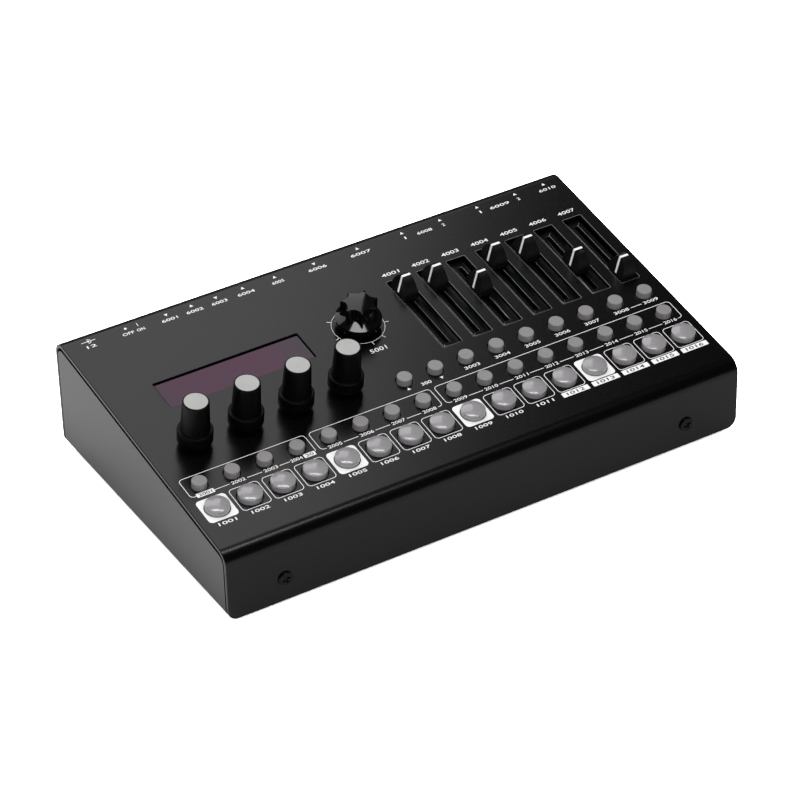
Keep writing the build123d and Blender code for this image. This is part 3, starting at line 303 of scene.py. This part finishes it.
def display_glass():
    """Polarised glass over the unlit display, with a painted reflection: plum in the middle and grey at
    the ends.
    """
    finish = Finish("display_glass", PLUM_PAINTED_REFLECTION, 0.12, Metallic=1.0)
    x = finish.along(RIGHT)
    cloudy = finish.noise(0.03, detail=1.0) * 0.5 + 0.7
    # Painted reflection: plum where X lies between the rises and the falls, grey outside.
    plum = x.over(*PLUM_RISES) * x.over(*PLUM_FALLS) * cloudy
    finish.set("Base Color", finish.mix(plum, GREY_SHEEN, PLUM_PAINTED_REFLECTION))
    return finish.material


def circuit_board():
    """Green solder mask with a faint pattern of tracks."""
    color = (0.005, 0.018, 0.009)
    finish = Finish("circuit_board", color, 0.35)
    tracks = finish.noise(0.0015, detail=0.0).over(*TRACK_EDGES)
    finish.set("Base Color", finish.mix(tracks, color, shade(color, TRACK_LIGHTER)))
    return finish.material


def grey(level):
    """A neutral colour."""
    return (level, level, level)


POWDER_COAT = powder_coat()
WHITE_INK = ink("white_ink", grey(0.86))
BLACK_INK = ink("black_ink", grey(0.012))
MILKY_DOME = milky_dome()
FROSTED_CAP = frosted_cap()
SOFT_BLACK = moulded("soft_black", grey(0.0012), 0.4, Specular_IOR_Level=0.12)
FADER_BLACK = moulded("fader_black", grey(0.004), 0.42, Specular_IOR_Level=0.35)
SOCKET_BLACK = moulded("socket_black", grey(0.008), 0.4)
GUIDE_BLACK = moulded("guide_black", grey(0.0016), 0.5, Specular_IOR_Level=0.12)
KNOB_INSERT = moulded("knob_insert", (0.385, 0.385, 0.375), 0.45, spot=0.0003)
FADER_LINE = moulded("fader_line", (0.86, 0.86, 0.85), 0.45)
POLISHED_BLACK = polished_black()
DARK_NICKEL = metal("dark_nickel", (0.22, 0.21, 0.2), 0.3)
BLACK_STEEL = metal("black_steel", (0.03, 0.03, 0.031), 0.4)
BLACK_NUT = metal("black_nut", (0.035, 0.034, 0.033), 0.22)
# Painted highlight: light grey on the fader slots' rounded rims, where they would catch the light.
PAINTED_RIM_HIGHLIGHT = ink("painted_rim_highlight", grey(0.16))
BARE_EDGE = metal("bare_edge", grey(0.35), 0.5)
RUBBER = moulded("foot_rubber", grey(0.012), 0.8, spot=0.0008)
DISPLAY_GLASS = display_glass()
CIRCUIT_BOARD = circuit_board()


# ---- modelling helpers ----
SMOOTH_ANGLE = math.radians(32)
BEVEL_ANGLE = math.radians(40)
BEVEL_SEGMENTS = 3
NORMAL_WEIGHT = 100
MERGE_DISTANCE = 0.000001
DISSOLVE_ANGLE = math.radians(0.3)


def select_only(*objects):
    """Selects these objects and makes the first one active."""
    bpy.ops.object.select_all(action="DESELECT")
    for item in objects:
        item.select_set(True)
    bpy.context.view_layer.objects.active = objects[0]


def in_edit_mode(item, *steps):
    """Runs edit-mode steps on all of an object's mesh."""
    select_only(item)
    bpy.ops.object.mode_set(mode="EDIT")
    bpy.ops.mesh.select_all(action="SELECT")
    for step in steps:
        step()
    bpy.ops.object.mode_set(mode="OBJECT")


def join(items, name):
    """Joins objects into one, with the first one's materials first."""
    select_only(*items)
    if len(items) > 1:
        bpy.ops.object.join()
    joined = bpy.context.view_layer.objects.active
    joined.name = name
    return joined


def soften(item, width, clamp):
    """Rounds an object's sharp edges, narrower where they crowd if clamp is set."""
    select_only(item)
    bpy.ops.object.modifier_add(type="BEVEL")
    bevel = item.modifiers[-1]
    bevel.width = width
    bevel.segments = BEVEL_SEGMENTS
    bevel.limit_method = "ANGLE"
    bevel.angle_limit = BEVEL_ANGLE
    bevel.use_clamp_overlap = clamp
    bpy.ops.object.modifier_apply(modifier=bevel.name)


def smooth(item):
    """Smooth shading that leaves the broad flat faces flat."""
    select_only(item)
    bpy.ops.object.shade_smooth_by_angle(angle=SMOOTH_ANGLE)
    bpy.ops.object.modifier_add(type="WEIGHTED_NORMAL")
    weighted = item.modifiers[-1]
    weighted.keep_sharp = True
    weighted.weight = NORMAL_WEIGHT
    bpy.ops.object.modifier_apply(modifier=weighted.name)


def cut_away(item, cutters):
    """Cuts the cutters' volume out of an object, and deletes the cutters."""
    cutter = join(cutters, "cutter")
    select_only(item)
    bpy.ops.object.modifier_add(type="BOOLEAN")
    boolean = item.modifiers[-1]
    boolean.operation = "DIFFERENCE"
    boolean.solver = "EXACT"
    boolean.object = cutter
    bpy.ops.object.modifier_apply(modifier=boolean.name)
    bpy.data.objects.remove(cutter)


def take_finishes(piece, finishes):
    """Gives each face the first finish whose test passes at all its corners, in panel places."""
    places = [TO_PANEL @ vertex.co for vertex in piece.data.vertices]
    for material, _ in finishes:
        piece.data.materials.append(material)
    for face in piece.data.polygons:
        for index, (_, test) in enumerate(finishes):
            if test is None or all(test(places[corner]) for corner in face.vertices):
                face.material_index = index
                break


def dress(node, finishes, edge=0.0, reshape=None, clamp=True):
    """A merged, smooth copy of a CAD node stands for it, with (finish, test) pairs for its faces.

    edge is the width of its rounded edges in metres, and reshape is run on it before they're rounded.
    """
    source = NODES[node]
    piece = source.copy()
    piece.data = source.data.copy()
    piece.name = node + "_look"
    for key in list(piece.keys()):
        del piece[key]
    piece.parent = None
    bpy.context.scene.collection.objects.link(piece)
    piece.data.materials.clear()
    take_finishes(piece, finishes)
    in_edit_mode(
        piece,
        lambda: bpy.ops.mesh.remove_doubles(threshold=MERGE_DISTANCE),
        lambda: bpy.ops.mesh.dissolve_limited(angle_limit=DISSOLVE_ANGLE, delimit={"MATERIAL"}),
    )
    if reshape:
        reshape(piece)
    if edge:
        soften(piece, edge, clamp)
    smooth(piece)
    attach(piece, source["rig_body"])
    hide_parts(node)
    return piece


# ---- case ----
# Widths of rounded edges, such as SHELL_EDGE, are in metres. Other lengths are in panel millimetres.
FADER_COLUMNS = [panel_place(fader)[0] for fader in FADERS]
SHELL_EDGE = 0.00045
TRAY_EDGE = 0.00025
FOOT_EDGE = 0.0004
JACK_NUTS_FROM_V = 124
JACK_NUTS_FROM_Z = 0.022  # metres in the frame
SLOT_MIDDLE_V = 73.4
SLOT_HALF_WIDTH = 5.25
SLOT_HALF_LENGTH = 27.0
SLOT_RIM = 0.5
SLOT_RIM_DEPTH = 0.1


def is_jack_fixing(place):
    """Corners of the jacks' washers and nuts, not of the case screws."""
    return place.y > JACK_NUTS_FROM_V and (PANEL @ place).z > JACK_NUTS_FROM_Z


def is_slot_rim(place):
    """Corners of the rounded edges round the fader slots, at the painted face, that take a painted
    highlight.
    """
    across = min(abs(place.x - column) for column in FADER_COLUMNS) < SLOT_HALF_WIDTH + SLOT_RIM
    along = abs(place.y - SLOT_MIDDLE_V) < SLOT_HALF_LENGTH + SLOT_RIM
    return across and along and place.z > -SLOT_RIM_DEPTH


# The shell takes its finishes again once its edges are rounded, so that the slots' rims take a painted
# highlight of their own.
shell = dress("top_shell", [(POWDER_COAT, None)], SHELL_EDGE, clamp=False)
shell.data.materials.clear()
take_finishes(shell, [(PAINTED_RIM_HIGHLIGHT, is_slot_rim), (POWDER_COAT, None)])
dress("bottom_tray", [(POWDER_COAT, None)], TRAY_EDGE)
dress("fasteners", [(DARK_NICKEL, is_jack_fixing), (BLACK_STEEL, None)])
dress("rubber_feet", [(RUBBER, None)], FOOT_EDGE)


# ---- controls ----
KNOB_INSERT_RADIUS = 5.67
KNOB_INSERT_DEPTH = 1.3
FADER_LINE_WIDTH = 1.4
HAIR = 0.02
CAP_EDGE = 0.0003
DATA_KNOB_EDGE = 0.00015
STEP_SHOULDER = 1.4
STEP_CROWN_RADIUS = 10.9
GENTLER_RADIUS = 14.8


def near(place, spot, radius):
    """Whether a panel place lies within a radius of a (u, v) spot, in plan."""
    return math.hypot(place.x - spot[0], place.y - spot[1]) < radius


def insert_test(node):
    """Corners of the flat insert in a knob's top."""
    top = (TO_PANEL @ (OUT * reach(node, OUT)[1])).z
    spot = panel_place(node)
    return lambda place: place.z > top - KNOB_INSERT_DEPTH and near(place, spot, KNOB_INSERT_RADIUS)


def fader_line_test(node):
    """Corners of the inlaid line across a fader cap."""
    v = panel_place(node)[1]
    return lambda place: abs(place.y - v) < FADER_LINE_WIDTH / 2 + HAIR and place.z > 0


def gentler_crown(node):
    """Draws a dome's shoulder up, so that its crown is gentler at the same height."""
    u, v = panel_place(node)
    flatter = (1 / STEP_CROWN_RADIUS - 1 / GENTLER_RADIUS) / 2

    def reshape(piece):
        for vertex in piece.data.vertices:
            place = TO_PANEL @ vertex.co
            if place.z > STEP_SHOULDER:
                lift = math.hypot(place.x - u, place.y - v) ** 2 * flatter
                vertex.co += OUT * lift * MM

    return reshape


for step in STEPS:
    dress(step, [(MILKY_DOME, None)], reshape=gentler_crown(step))
for button in FUNCTIONS + MODES:
    dress(button, [(FROSTED_CAP, None)], CAP_EDGE)
for knob in KNOBS:
    dress(knob, [(KNOB_INSERT, insert_test(knob)), (SOFT_BLACK, None)])
for fader in FADERS:
    dress(fader, [(FADER_LINE, fader_line_test(fader)), (FADER_BLACK, None)])
dress("data_knob", [(POLISHED_BLACK, None)], DATA_KNOB_EDGE)


# ---- what shows through the panel ----
ENCODER_SPOTS = [panel_place(knob) for knob in KNOBS + ["data_knob"]]
ENCODER_REACH = 9.3
GLASS_TOP = -1.0
GLASS_BOTTOM = -4.6
GLASS_U = (5, 105)
GLASS_V = (60, 95)
PLATE_TOP = -2.4
FADER_FRAME_BOTTOM = -9.0
FADER_FRAME_HALF = 4.3
FADER_FRAME_V = (40, 106)
BARE_EDGE_SLOT = 4
PLATE_EDGE = 0.0001


def within(value, limits, slack=0.0):
    """Whether a value lies between two limits, or outside them by less than the slack."""
    return limits[0] - slack < value < limits[1] + slack


def is_glass(place):
    """Corners of the display's glass."""
    over_it = within(place.x, GLASS_U) and within(place.y, GLASS_V)
    return over_it and within(place.z, (GLASS_BOTTOM, GLASS_TOP), HAIR)


def is_encoder(place):
    """Corners of the washers, nuts and bushings under the knobs."""
    over_it = any(near(place, spot, ENCODER_REACH) for spot in ENCODER_SPOTS)
    return over_it and place.z > FADER_FRAME_BOTTOM + HAIR


def is_fader(place):
    """Corners of the faders' frames and guide plates."""
    over_it = any(abs(place.x - column) < FADER_FRAME_HALF for column in FADER_COLUMNS)
    at_height = within(place.z, (FADER_FRAME_BOTTOM, PLATE_TOP), HAIR)
    return over_it and at_height and within(place.y, FADER_FRAME_V)


boards = dress("circuit_boards", [
    (DISPLAY_GLASS, is_glass),
    (BLACK_NUT, is_encoder),
    (GUIDE_BLACK, is_fader),
    (CIRCUIT_BOARD, None),
    (BARE_EDGE, None),
])


def is_plate_edge(first, last):
    """Long or end edges of the steel plates that guide the fader levers."""
    level = abs(first.z - PLATE_TOP) < HAIR and abs(last.z - PLATE_TOP) < HAIR
    straight = abs(first.x - last.x) < HAIR or abs(first.y - last.y) < HAIR
    return level and straight and is_fader(first)


def bare_edges(piece):
    """Bevels the guide plates' edges down to bare steel."""
    select_only(piece)
    bpy.ops.object.mode_set(mode="EDIT")
    bpy.ops.mesh.select_all(action="DESELECT")
    bpy.ops.object.mode_set(mode="OBJECT")
    places = [TO_PANEL @ vertex.co for vertex in piece.data.vertices]
    for edge in piece.data.edges:
        edge.select = is_plate_edge(*(places[corner] for corner in edge.vertices))
    bpy.ops.object.mode_set(mode="EDIT")
    bpy.ops.mesh.select_mode(type="EDGE")
    bpy.ops.mesh.bevel(offset=PLATE_EDGE, segments=1, affect="EDGES", material=BARE_EDGE_SLOT)
    bpy.ops.object.mode_set(mode="OBJECT")


bare_edges(boards)
dress("rear_connectors", [(SOCKET_BLACK, None)])
dress("power_switch", [(SOCKET_BLACK, None)])


# ---- printed marks, modelled in panel millimetres ----
# Sizes of labels, boxes and gaps are (width, height).
INK_HEIGHT = 0.04
CUTTER_HEIGHT = 3 * INK_HEIGHT
LINE = 0.32
CORNER = 2.1
CORNER_SEGMENTS = 6
TRIANGLE_SIDES = 3
DISC_SIDES = 32
HOLE_SIDES = 64
RING_SIDES = 96
TEXT_BOLDER = 0.01
TEXT_HALF_DEPTH = 0.5
TEXT_RESOLUTION = 3
SMALL_TEXT = 2.0
MARK_RADIUS = 1.15
BOX_CORNER = 0.4
STEP_NUMBERS_FROM = 1001
FUNCTION_NUMBERS_FROM = 2001
MODE_NUMBERS_FROM = 3001
FADER_NUMBERS_FROM = 4001

STEP_FRAME = 15.6
STEP_HOLE_IN_INK = 12.8
STEP_LABEL_V = -10.0
STEP_LABEL_WIDTH = 9.4
STEP_BOX = (15.2, 3.2)
STEP_BOX_LABEL = (10.0, SMALL_TEXT)
FILLED_STEPS = (0, 4, 8, 12)
BOXED_STEPS = (11, 12, 13, 14, 15)

GROUPS = ((0, 3), (4, 7), (8, 15))
GROUP_MARGIN = 7.65
GROUP_LOW_V = 11.2
GROUP_HIGH_V = 24.1
LABEL_GAP = (9.4, 2)
DOUBLE_LABEL_GAP = (14.4, 2)
FUNCTION_LABEL_WIDTH = 7.4
FIRST_BOX = (9.3, 2.7)
FIRST_BOX_LABEL = (7.0, 1.7)
DOUBLE_LABEL = 3
DOUBLE_LABEL_LEFT = 3.6
DOUBLE_LABEL_WIDTH = 6.4
DOUBLE_BOX_RIGHT = 3.5
DOUBLE_BOX = (6.2, 2.7)
DOUBLE_BOX_LABEL = (4.2, 1.7)

MODE_LABEL_V = 28.4
MODE_LABEL_WIDTH = 8.6
MODE_PAIR_LABEL_WIDTH = 5.5
MODE_PAIR_LINE = 6.5
UP_MARK_LEFT = 1.1
FADER_LABEL_V = 105.5
FADER_LABEL = (10.0, 2.3)

DATA_RING_RADIUS = 13.2
DATA_RING_LINE = 0.2
DATA_TICKS = (143, 196, 270, 300, 345)  # degrees
DATA_TICK_RADIUS = 14.3
DATA_TICK_LENGTH = 2.4
DATA_LABEL_V = 59.8
DATA_LABEL = (9.0, 2.7)

REAR_LABEL_V = 125.6
REAR_LABEL_HEIGHT = 1.9
REAR_MARK_V = 129.4
REAR_MARKS_DOWN = (43.1, 70.8, 126.5)
REAR_MARKS_UP = (57.1, 85.9, 104.0, 151.5, 177.6, 200.1, 222.3, 245.2, 262.6)
REAR_LABELS = (  # words, u, width
    ("OFF", 20.6, 6.2), ("ON", 27.4, 4.2), ("6001", 43.3, 8.6), ("6002", 57.2, 9.2), ("6003", 70.9, 8.6),
    ("6004", 85.9, 9.4), ("6005", 104.0, 6.6), ("6006", 126.5, 10.2), ("6007", 151.5, 11.6),
    ("1", 177.6, 0.8), ("6008", 188.9, 8.6), ("2", 200.1, 1.6), ("1", 222.3, 0.8), ("6009", 233.7, 11.4),
    ("2", 245.2, 1.6), ("6010", 262.6, 9.8), ("12", 0.6, 5.0),
)
OFF_DOT_U = 20.84
OFF_DOT_RADIUS = 0.7
ON_LINE_U = 27.35
ON_LINE_LENGTH = 2.4
POLARITY_U = 0.6
POLARITY_RADIUS = 1.35
POLARITY_DOT_RADIUS = 0.6
POLARITY_OPENING_LEFT = 1.6
POLARITY_OPENING = (2.4, 4)
POLARITY_LEFT = 2
POLARITY_LEFT_LINE = 3.6
POLARITY_RIGHT = 2.6
POLARITY_RIGHT_LINE = 2.4

STEP_SPOTS = [panel_place(node) for node in STEPS]
FUNCTION_SPOTS = [panel_place(node) for node in FUNCTIONS]
MODE_SPOTS = [panel_place(node) for node in MODES]

white_marks = []
black_marks = []


def ink_plate(u, v, width, height, corner=0.0, low=0.0, tall=INK_HEIGHT):
    """Printed rectangle, with round corners if it has a corner radius."""
    bpy.ops.mesh.primitive_plane_add(size=1, location=(u, v, low))
    plate = bpy.context.object
    plate.scale = (width, height, 1)
    bpy.ops.object.transform_apply(location=True, rotation=True, scale=True)
    rounding = {"offset": corner, "segments": CORNER_SEGMENTS, "affect": "VERTICES"}
    rising = {"value": (0, 0, tall)}
    in_edit_mode(
        plate,
        lambda: corner and bpy.ops.mesh.bevel(**rounding),
        lambda: bpy.ops.mesh.extrude_region_move(TRANSFORM_OT_translate=rising),
        lambda: bpy.ops.mesh.select_all(action="SELECT"),
        lambda: bpy.ops.mesh.normals_make_consistent(inside=False),
    )
    return plate


def cutting_plate(u, v, width, height, corner=0.0):
    """Plate that reaches through the ink, to cut it with."""
    return ink_plate(u, v, width, height, corner, -INK_HEIGHT, CUTTER_HEIGHT)


def ink_frame(u, v, width, height):
    """Printed outline of a rounded rectangle."""
    outline = ink_plate(u, v, width, height, CORNER)
    cut_away(outline, [cutting_plate(u, v, width - 2 * LINE, height - 2 * LINE, CORNER - LINE)])
    return outline


def ink_disc(u, v, radius, sides=DISC_SIDES, turn=0.0, low=0.0, tall=INK_HEIGHT):
    """Printed disc, or a triangle with three sides."""
    place = (u, v, low + tall / 2)
    bpy.ops.mesh.primitive_cylinder_add(
        vertices=sides, radius=radius, depth=tall, location=place, rotation=(0, 0, turn),
    )
    bpy.ops.object.transform_apply(location=True, rotation=True, scale=True)
    return bpy.context.object


def cutting_disc(u, v, radius):
    """Disc that reaches through the ink, to cut it with."""
    return ink_disc(u, v, radius, HOLE_SIDES, 0, -INK_HEIGHT, CUTTER_HEIGHT)


def ink_ring(u, v, radius, line=LINE):
    """Printed circle."""
    ring = ink_disc(u, v, radius + line / 2, RING_SIDES)
    cut_away(ring, [cutting_disc(u, v, radius - line / 2)])
    return ring


def pointing_mark(u, v, up):
    """Printed triangle that points up or down the panel."""
    return ink_disc(u, v, MARK_RADIUS, TRIANGLE_SIDES, 0 if up else math.pi)


def ink_text(words, u, v, width, height=SMALL_TEXT, low=0.0):
    """Printed characters that fill a width and height, centred on a place."""
    bpy.ops.object.text_add()
    text = bpy.context.object
    text.data.body = words
    text.data.extrude = TEXT_HALF_DEPTH
    text.data.offset = TEXT_BOLDER
    text.data.resolution_u = TEXT_RESOLUTION
    bpy.ops.object.convert(target="MESH")
    near_corner = [min(vertex.co[axis] for vertex in text.data.vertices) for axis in range(2)]
    far_corner = [max(vertex.co[axis] for vertex in text.data.vertices) for axis in range(2)]
    centre_x, centre_y = [(a + b) / 2 for a, b in zip(near_corner, far_corner)]
    scale_x = width / (far_corner[0] - near_corner[0])
    scale_y = height / (far_corner[1] - near_corner[1])
    text.data.transform(Matrix.Translation((-centre_x, -centre_y, TEXT_HALF_DEPTH)))
    text.data.transform(Matrix.Diagonal((scale_x, scale_y, INK_HEIGHT, 1)))
    text.data.transform(Matrix.Translation((u, v, low)))
    return text


def boxed_label(words, u, v, box, size):
    """Prints characters of this size in black on a white box."""
    white_marks.append(ink_plate(u, v, *box, BOX_CORNER))
    black_marks.append(ink_text(words, u, v, *size, INK_HEIGHT))


def step_marks(number, u, v):
    """Prints the frame and label of a step button."""
    if number in FILLED_STEPS:
        filled = ink_plate(u, v, STEP_FRAME, STEP_FRAME, CORNER)
        cut_away(filled, [cutting_disc(u, v, STEP_HOLE_IN_INK / 2)])
        white_marks.append(filled)
    else:
        white_marks.append(ink_frame(u, v, STEP_FRAME, STEP_FRAME))
    label = str(STEP_NUMBERS_FROM + number)
    if number in BOXED_STEPS:
        boxed_label(label, u, STEP_LABEL_V, STEP_BOX, STEP_BOX_LABEL)
    else:
        white_marks.append(ink_text(label, u, STEP_LABEL_V, STEP_LABEL_WIDTH))


def group_outline(first, last):
    """Outline round a group of function buttons, broken at their labels."""
    left = FUNCTION_SPOTS[first][0] - GROUP_MARGIN
    right = FUNCTION_SPOTS[last][0] + GROUP_MARGIN
    middle_u = (left + right) / 2
    middle_v = (GROUP_LOW_V + GROUP_HIGH_V) / 2
    outline = ink_frame(middle_u, middle_v, right - left, GROUP_HIGH_V - GROUP_LOW_V + LINE)
    gaps = []
    for number in range(first, last + 1):
        gap = DOUBLE_LABEL_GAP if number == DOUBLE_LABEL else LABEL_GAP
        gaps.append(cutting_plate(FUNCTION_SPOTS[number][0], GROUP_LOW_V, *gap))
    cut_away(outline, gaps)
    return outline


def function_label(number, u):
    """Prints the label of a function button, in the gap of its group's outline."""
    label = str(FUNCTION_NUMBERS_FROM + number)
    if number == 0:
        boxed_label(label, u, GROUP_LOW_V, FIRST_BOX, FIRST_BOX_LABEL)
    elif number == DOUBLE_LABEL:
        white_marks.append(ink_text(label, u - DOUBLE_LABEL_LEFT, GROUP_LOW_V, DOUBLE_LABEL_WIDTH))
        boxed_label("20", u + DOUBLE_BOX_RIGHT, GROUP_LOW_V, DOUBLE_BOX, DOUBLE_BOX_LABEL)
    else:
        white_marks.append(ink_text(label, u, GROUP_LOW_V, FUNCTION_LABEL_WIDTH))


def mode_labels():
    """Prints the mode buttons' labels: numbers, two triangles with 300 between them, a joining line."""
    columns = [u for u, _ in MODE_SPOTS]
    for number in range(2, len(columns)):
        label = str(MODE_NUMBERS_FROM + number)
        white_marks.append(ink_text(label, columns[number], MODE_LABEL_V, MODE_LABEL_WIDTH))
    first_pair_u = (columns[0] + columns[1]) / 2
    last_pair_u = (columns[-2] + columns[-1]) / 2
    white_marks.extend([
        pointing_mark(columns[0] - UP_MARK_LEFT, MODE_LABEL_V, True),
        pointing_mark(columns[1], MODE_LABEL_V, False),
        ink_text("300", first_pair_u, MODE_LABEL_V, MODE_PAIR_LABEL_WIDTH),
        ink_plate(last_pair_u, MODE_LABEL_V, MODE_PAIR_LINE, LINE),
    ])


def data_knob_marks():
    """Prints the data knob's circle, ticks and label."""
    u, v = ENCODER_SPOTS[-1]
    white_marks.append(ink_ring(u, v, DATA_RING_RADIUS, DATA_RING_LINE))
    for angle in DATA_TICKS:
        tick = ink_plate(DATA_TICK_RADIUS, 0, DATA_TICK_LENGTH, LINE)
        turn = Matrix.Rotation(math.radians(angle), 4, "Z")
        tick.data.transform(Matrix.Translation((u, v, 0)) @ turn)
        white_marks.append(tick)
    white_marks.append(ink_text("5001", u, DATA_LABEL_V, *DATA_LABEL))


def rear_marks():
    """Prints the marks and labels of the sockets, the switch and the power inlet along the back edge."""
    for u in REAR_MARKS_DOWN:
        white_marks.append(pointing_mark(u, REAR_MARK_V, False))
    for u in REAR_MARKS_UP:
        white_marks.append(pointing_mark(u, REAR_MARK_V, True))
    for words, u, width in REAR_LABELS:
        white_marks.append(ink_text(words, u, REAR_LABEL_V, width, REAR_LABEL_HEIGHT))
    white_marks.append(ink_disc(OFF_DOT_U, REAR_MARK_V, OFF_DOT_RADIUS))
    white_marks.append(ink_plate(ON_LINE_U, REAR_MARK_V, LINE, ON_LINE_LENGTH))
    ring = ink_ring(POLARITY_U, REAR_MARK_V, POLARITY_RADIUS)
    cut_away(ring, [cutting_plate(POLARITY_U - POLARITY_OPENING_LEFT, REAR_MARK_V, *POLARITY_OPENING)])
    white_marks.extend([
        ring,
        ink_disc(POLARITY_U, REAR_MARK_V, POLARITY_DOT_RADIUS),
        ink_plate(POLARITY_U - POLARITY_LEFT, REAR_MARK_V, POLARITY_LEFT_LINE, LINE),
        ink_plate(POLARITY_U + POLARITY_RIGHT, REAR_MARK_V, POLARITY_RIGHT_LINE, LINE),
    ])


for number, (u, v) in enumerate(STEP_SPOTS):
    step_marks(number, u, v)
for first, last in GROUPS:
    white_marks.append(group_outline(first, last))
for number, (u, _) in enumerate(FUNCTION_SPOTS):
    function_label(number, u)
mode_labels()
for number, column in enumerate(FADER_COLUMNS):
    label = str(FADER_NUMBERS_FROM + number)
    white_marks.append(ink_text(label, column, FADER_LABEL_V, *FADER_LABEL))
data_knob_marks()
rear_marks()


def lay_ink(items, name, material):
    """Joins printed marks, lays them on the panel and makes them ride on the case."""
    piece = join(items, name)
    piece.data.transform(PANEL)
    piece.data.materials.clear()
    piece.data.materials.append(material)
    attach(piece, "case")


lay_ink(white_marks, "panel_print_white", WHITE_INK)
lay_ink(black_marks, "panel_print_black", BLACK_INK)


# ---- floor, light and camera ----
# Places and sizes are in metres, but the camera's distances, lens and sensor are in millimetres.
FLOOR_SIZE = 12.0
FLOOR_PLAIN = 0.8
FLOOR_SEEN = 4.0
FLOOR_MIRRORED = 0.52
FLOOR_MIRRORED_LEFT = 1.12
FLOOR_BRIGHTENS = (-0.13, -0.16)  # places along X
LIGHTS_TURN = -30.5  # degrees


def studio_white():
    """White that keeps shadows, is seen lighter than it lights, and is mirrored lighter on the left."""
    material = bpy.data.materials.new("studio_white")
    material.use_nodes = True
    nodes = Nodes(material.node_tree)
    nodes.tree.nodes.clear()
    seen = nodes.ray("Is Camera Ray") * (FLOOR_SEEN - FLOOR_PLAIN)
    x = nodes.add("ShaderNodeSeparateXYZ", {}, {"Vector": nodes.place()}, "X")
    on_the_left = x.over(*FLOOR_BRIGHTENS) * (FLOOR_MIRRORED_LEFT - FLOOR_MIRRORED)
    level = on_the_left + (FLOOR_MIRRORED - FLOOR_PLAIN)
    mirrored = (nodes.ray("Is Glossy Ray") + nodes.ray("Is Transmission Ray")) * level
    white = nodes.add("ShaderNodeBsdfDiffuse", {}, {"Color": seen + mirrored + FLOOR_PLAIN})
    nodes.add("ShaderNodeOutputMaterial", {}, {"Surface": white}, None)
    return material


def floor():
    """Plain white floor."""
    bpy.ops.mesh.primitive_plane_add(size=FLOOR_SIZE)
    plane = bpy.context.object
    plane.name = "floor"
    plane.data.materials.append(studio_white())


def softbox(name, place, turn, tilt, width, length, radiance, mirrored=True):
    """Area light that faces down, is tilted up to face -Y and then turned, in degrees.

    mirrored says whether a gloss shows it.
    """
    data = bpy.data.lights.new(name, "AREA")
    data.shape = "RECTANGLE"
    data.size = width
    data.size_y = length
    data.energy = radiance * width * length * math.pi
    light = bpy.data.objects.new(name, data)
    bpy.context.scene.collection.objects.link(light)
    light.location = place
    light.visible_glossy = mirrored
    light.rotation_euler = (math.radians(-tilt), 0, math.radians(turn))


def world(strength, strength_in_gloss):
    """Even light all round, white to look at and dimmer where a gloss mirrors it."""
    scene_world = bpy.data.worlds.new("studio")
    scene_world.use_nodes = True
    nodes = Nodes(scene_world.node_tree)
    background = nodes.tree.nodes["Background"]
    background.inputs["Color"].default_value = (1, 1, 1, 1)
    seen = nodes.ray("Is Camera Ray") * (1 - strength)
    level = nodes.ray("Is Glossy Ray") * (strength_in_gloss - strength) + seen + strength
    nodes.feed(background.inputs["Strength"], level)
    bpy.context.scene.world = scene_world


CAMERA_AZIMUTH = math.radians(-30.47)
CAMERA_ELEVATION = math.radians(35.21)
CAMERA_ROLL = math.radians(-1.43)
CAMERA_LENS = 161.6
CAMERA_BACK = 1653.5
CAMERA_RIGHT = 84.15
CAMERA_UP = 49.75
CAMERA_SENSOR = 36
CAMERA_CLIP_END = 50  # metres


def camera():
    """Camera placed from the first step button, in millimetres back, right and up in its own picture."""
    across = math.cos(CAMERA_ELEVATION)
    back = Vector((
        math.sin(CAMERA_AZIMUTH) * across,
        -math.cos(CAMERA_AZIMUTH) * across,
        math.sin(CAMERA_ELEVATION),
    ))
    level = Vector((math.cos(CAMERA_AZIMUTH), math.sin(CAMERA_AZIMUTH), 0))
    upright = back.cross(level)
    right = level * math.cos(CAMERA_ROLL) + upright * math.sin(CAMERA_ROLL)
    up = upright * math.cos(CAMERA_ROLL) - level * math.sin(CAMERA_ROLL)
    offset = back * CAMERA_BACK + right * CAMERA_RIGHT + up * CAMERA_UP
    data = bpy.data.cameras.new("camera")
    data.lens = CAMERA_LENS
    data.sensor_width = CAMERA_SENSOR
    data.clip_end = CAMERA_CLIP_END
    item = bpy.data.objects.new("camera", data)
    bpy.context.scene.collection.objects.link(item)
    turned = Matrix((right, up, back)).transposed().to_4x4()
    item.matrix_world = Matrix.Translation(PANEL.to_translation() + offset * MM) @ turned
    bpy.context.scene.camera = item


floor()
world(strength=0.55, strength_in_gloss=0.015)
softbox(
    "back_softbox", (-0.261, 1.238, 1.0), turn=-36, tilt=0,
    width=2.0, length=1.2, radiance=1.7,
)
softbox(
    "strip_above", (-0.02, -0.12, 1.0), turn=LIGHTS_TURN, tilt=0,
    width=0.75, length=0.12, radiance=10,
)
softbox(
    "front_fill", (-0.85, -1.45, 1.0), turn=LIGHTS_TURN, tilt=-60,
    width=1.4, length=1.0, radiance=2.8, mirrored=False,
)
camera()

bpy.context.scene.view_settings.view_transform = "Standard"
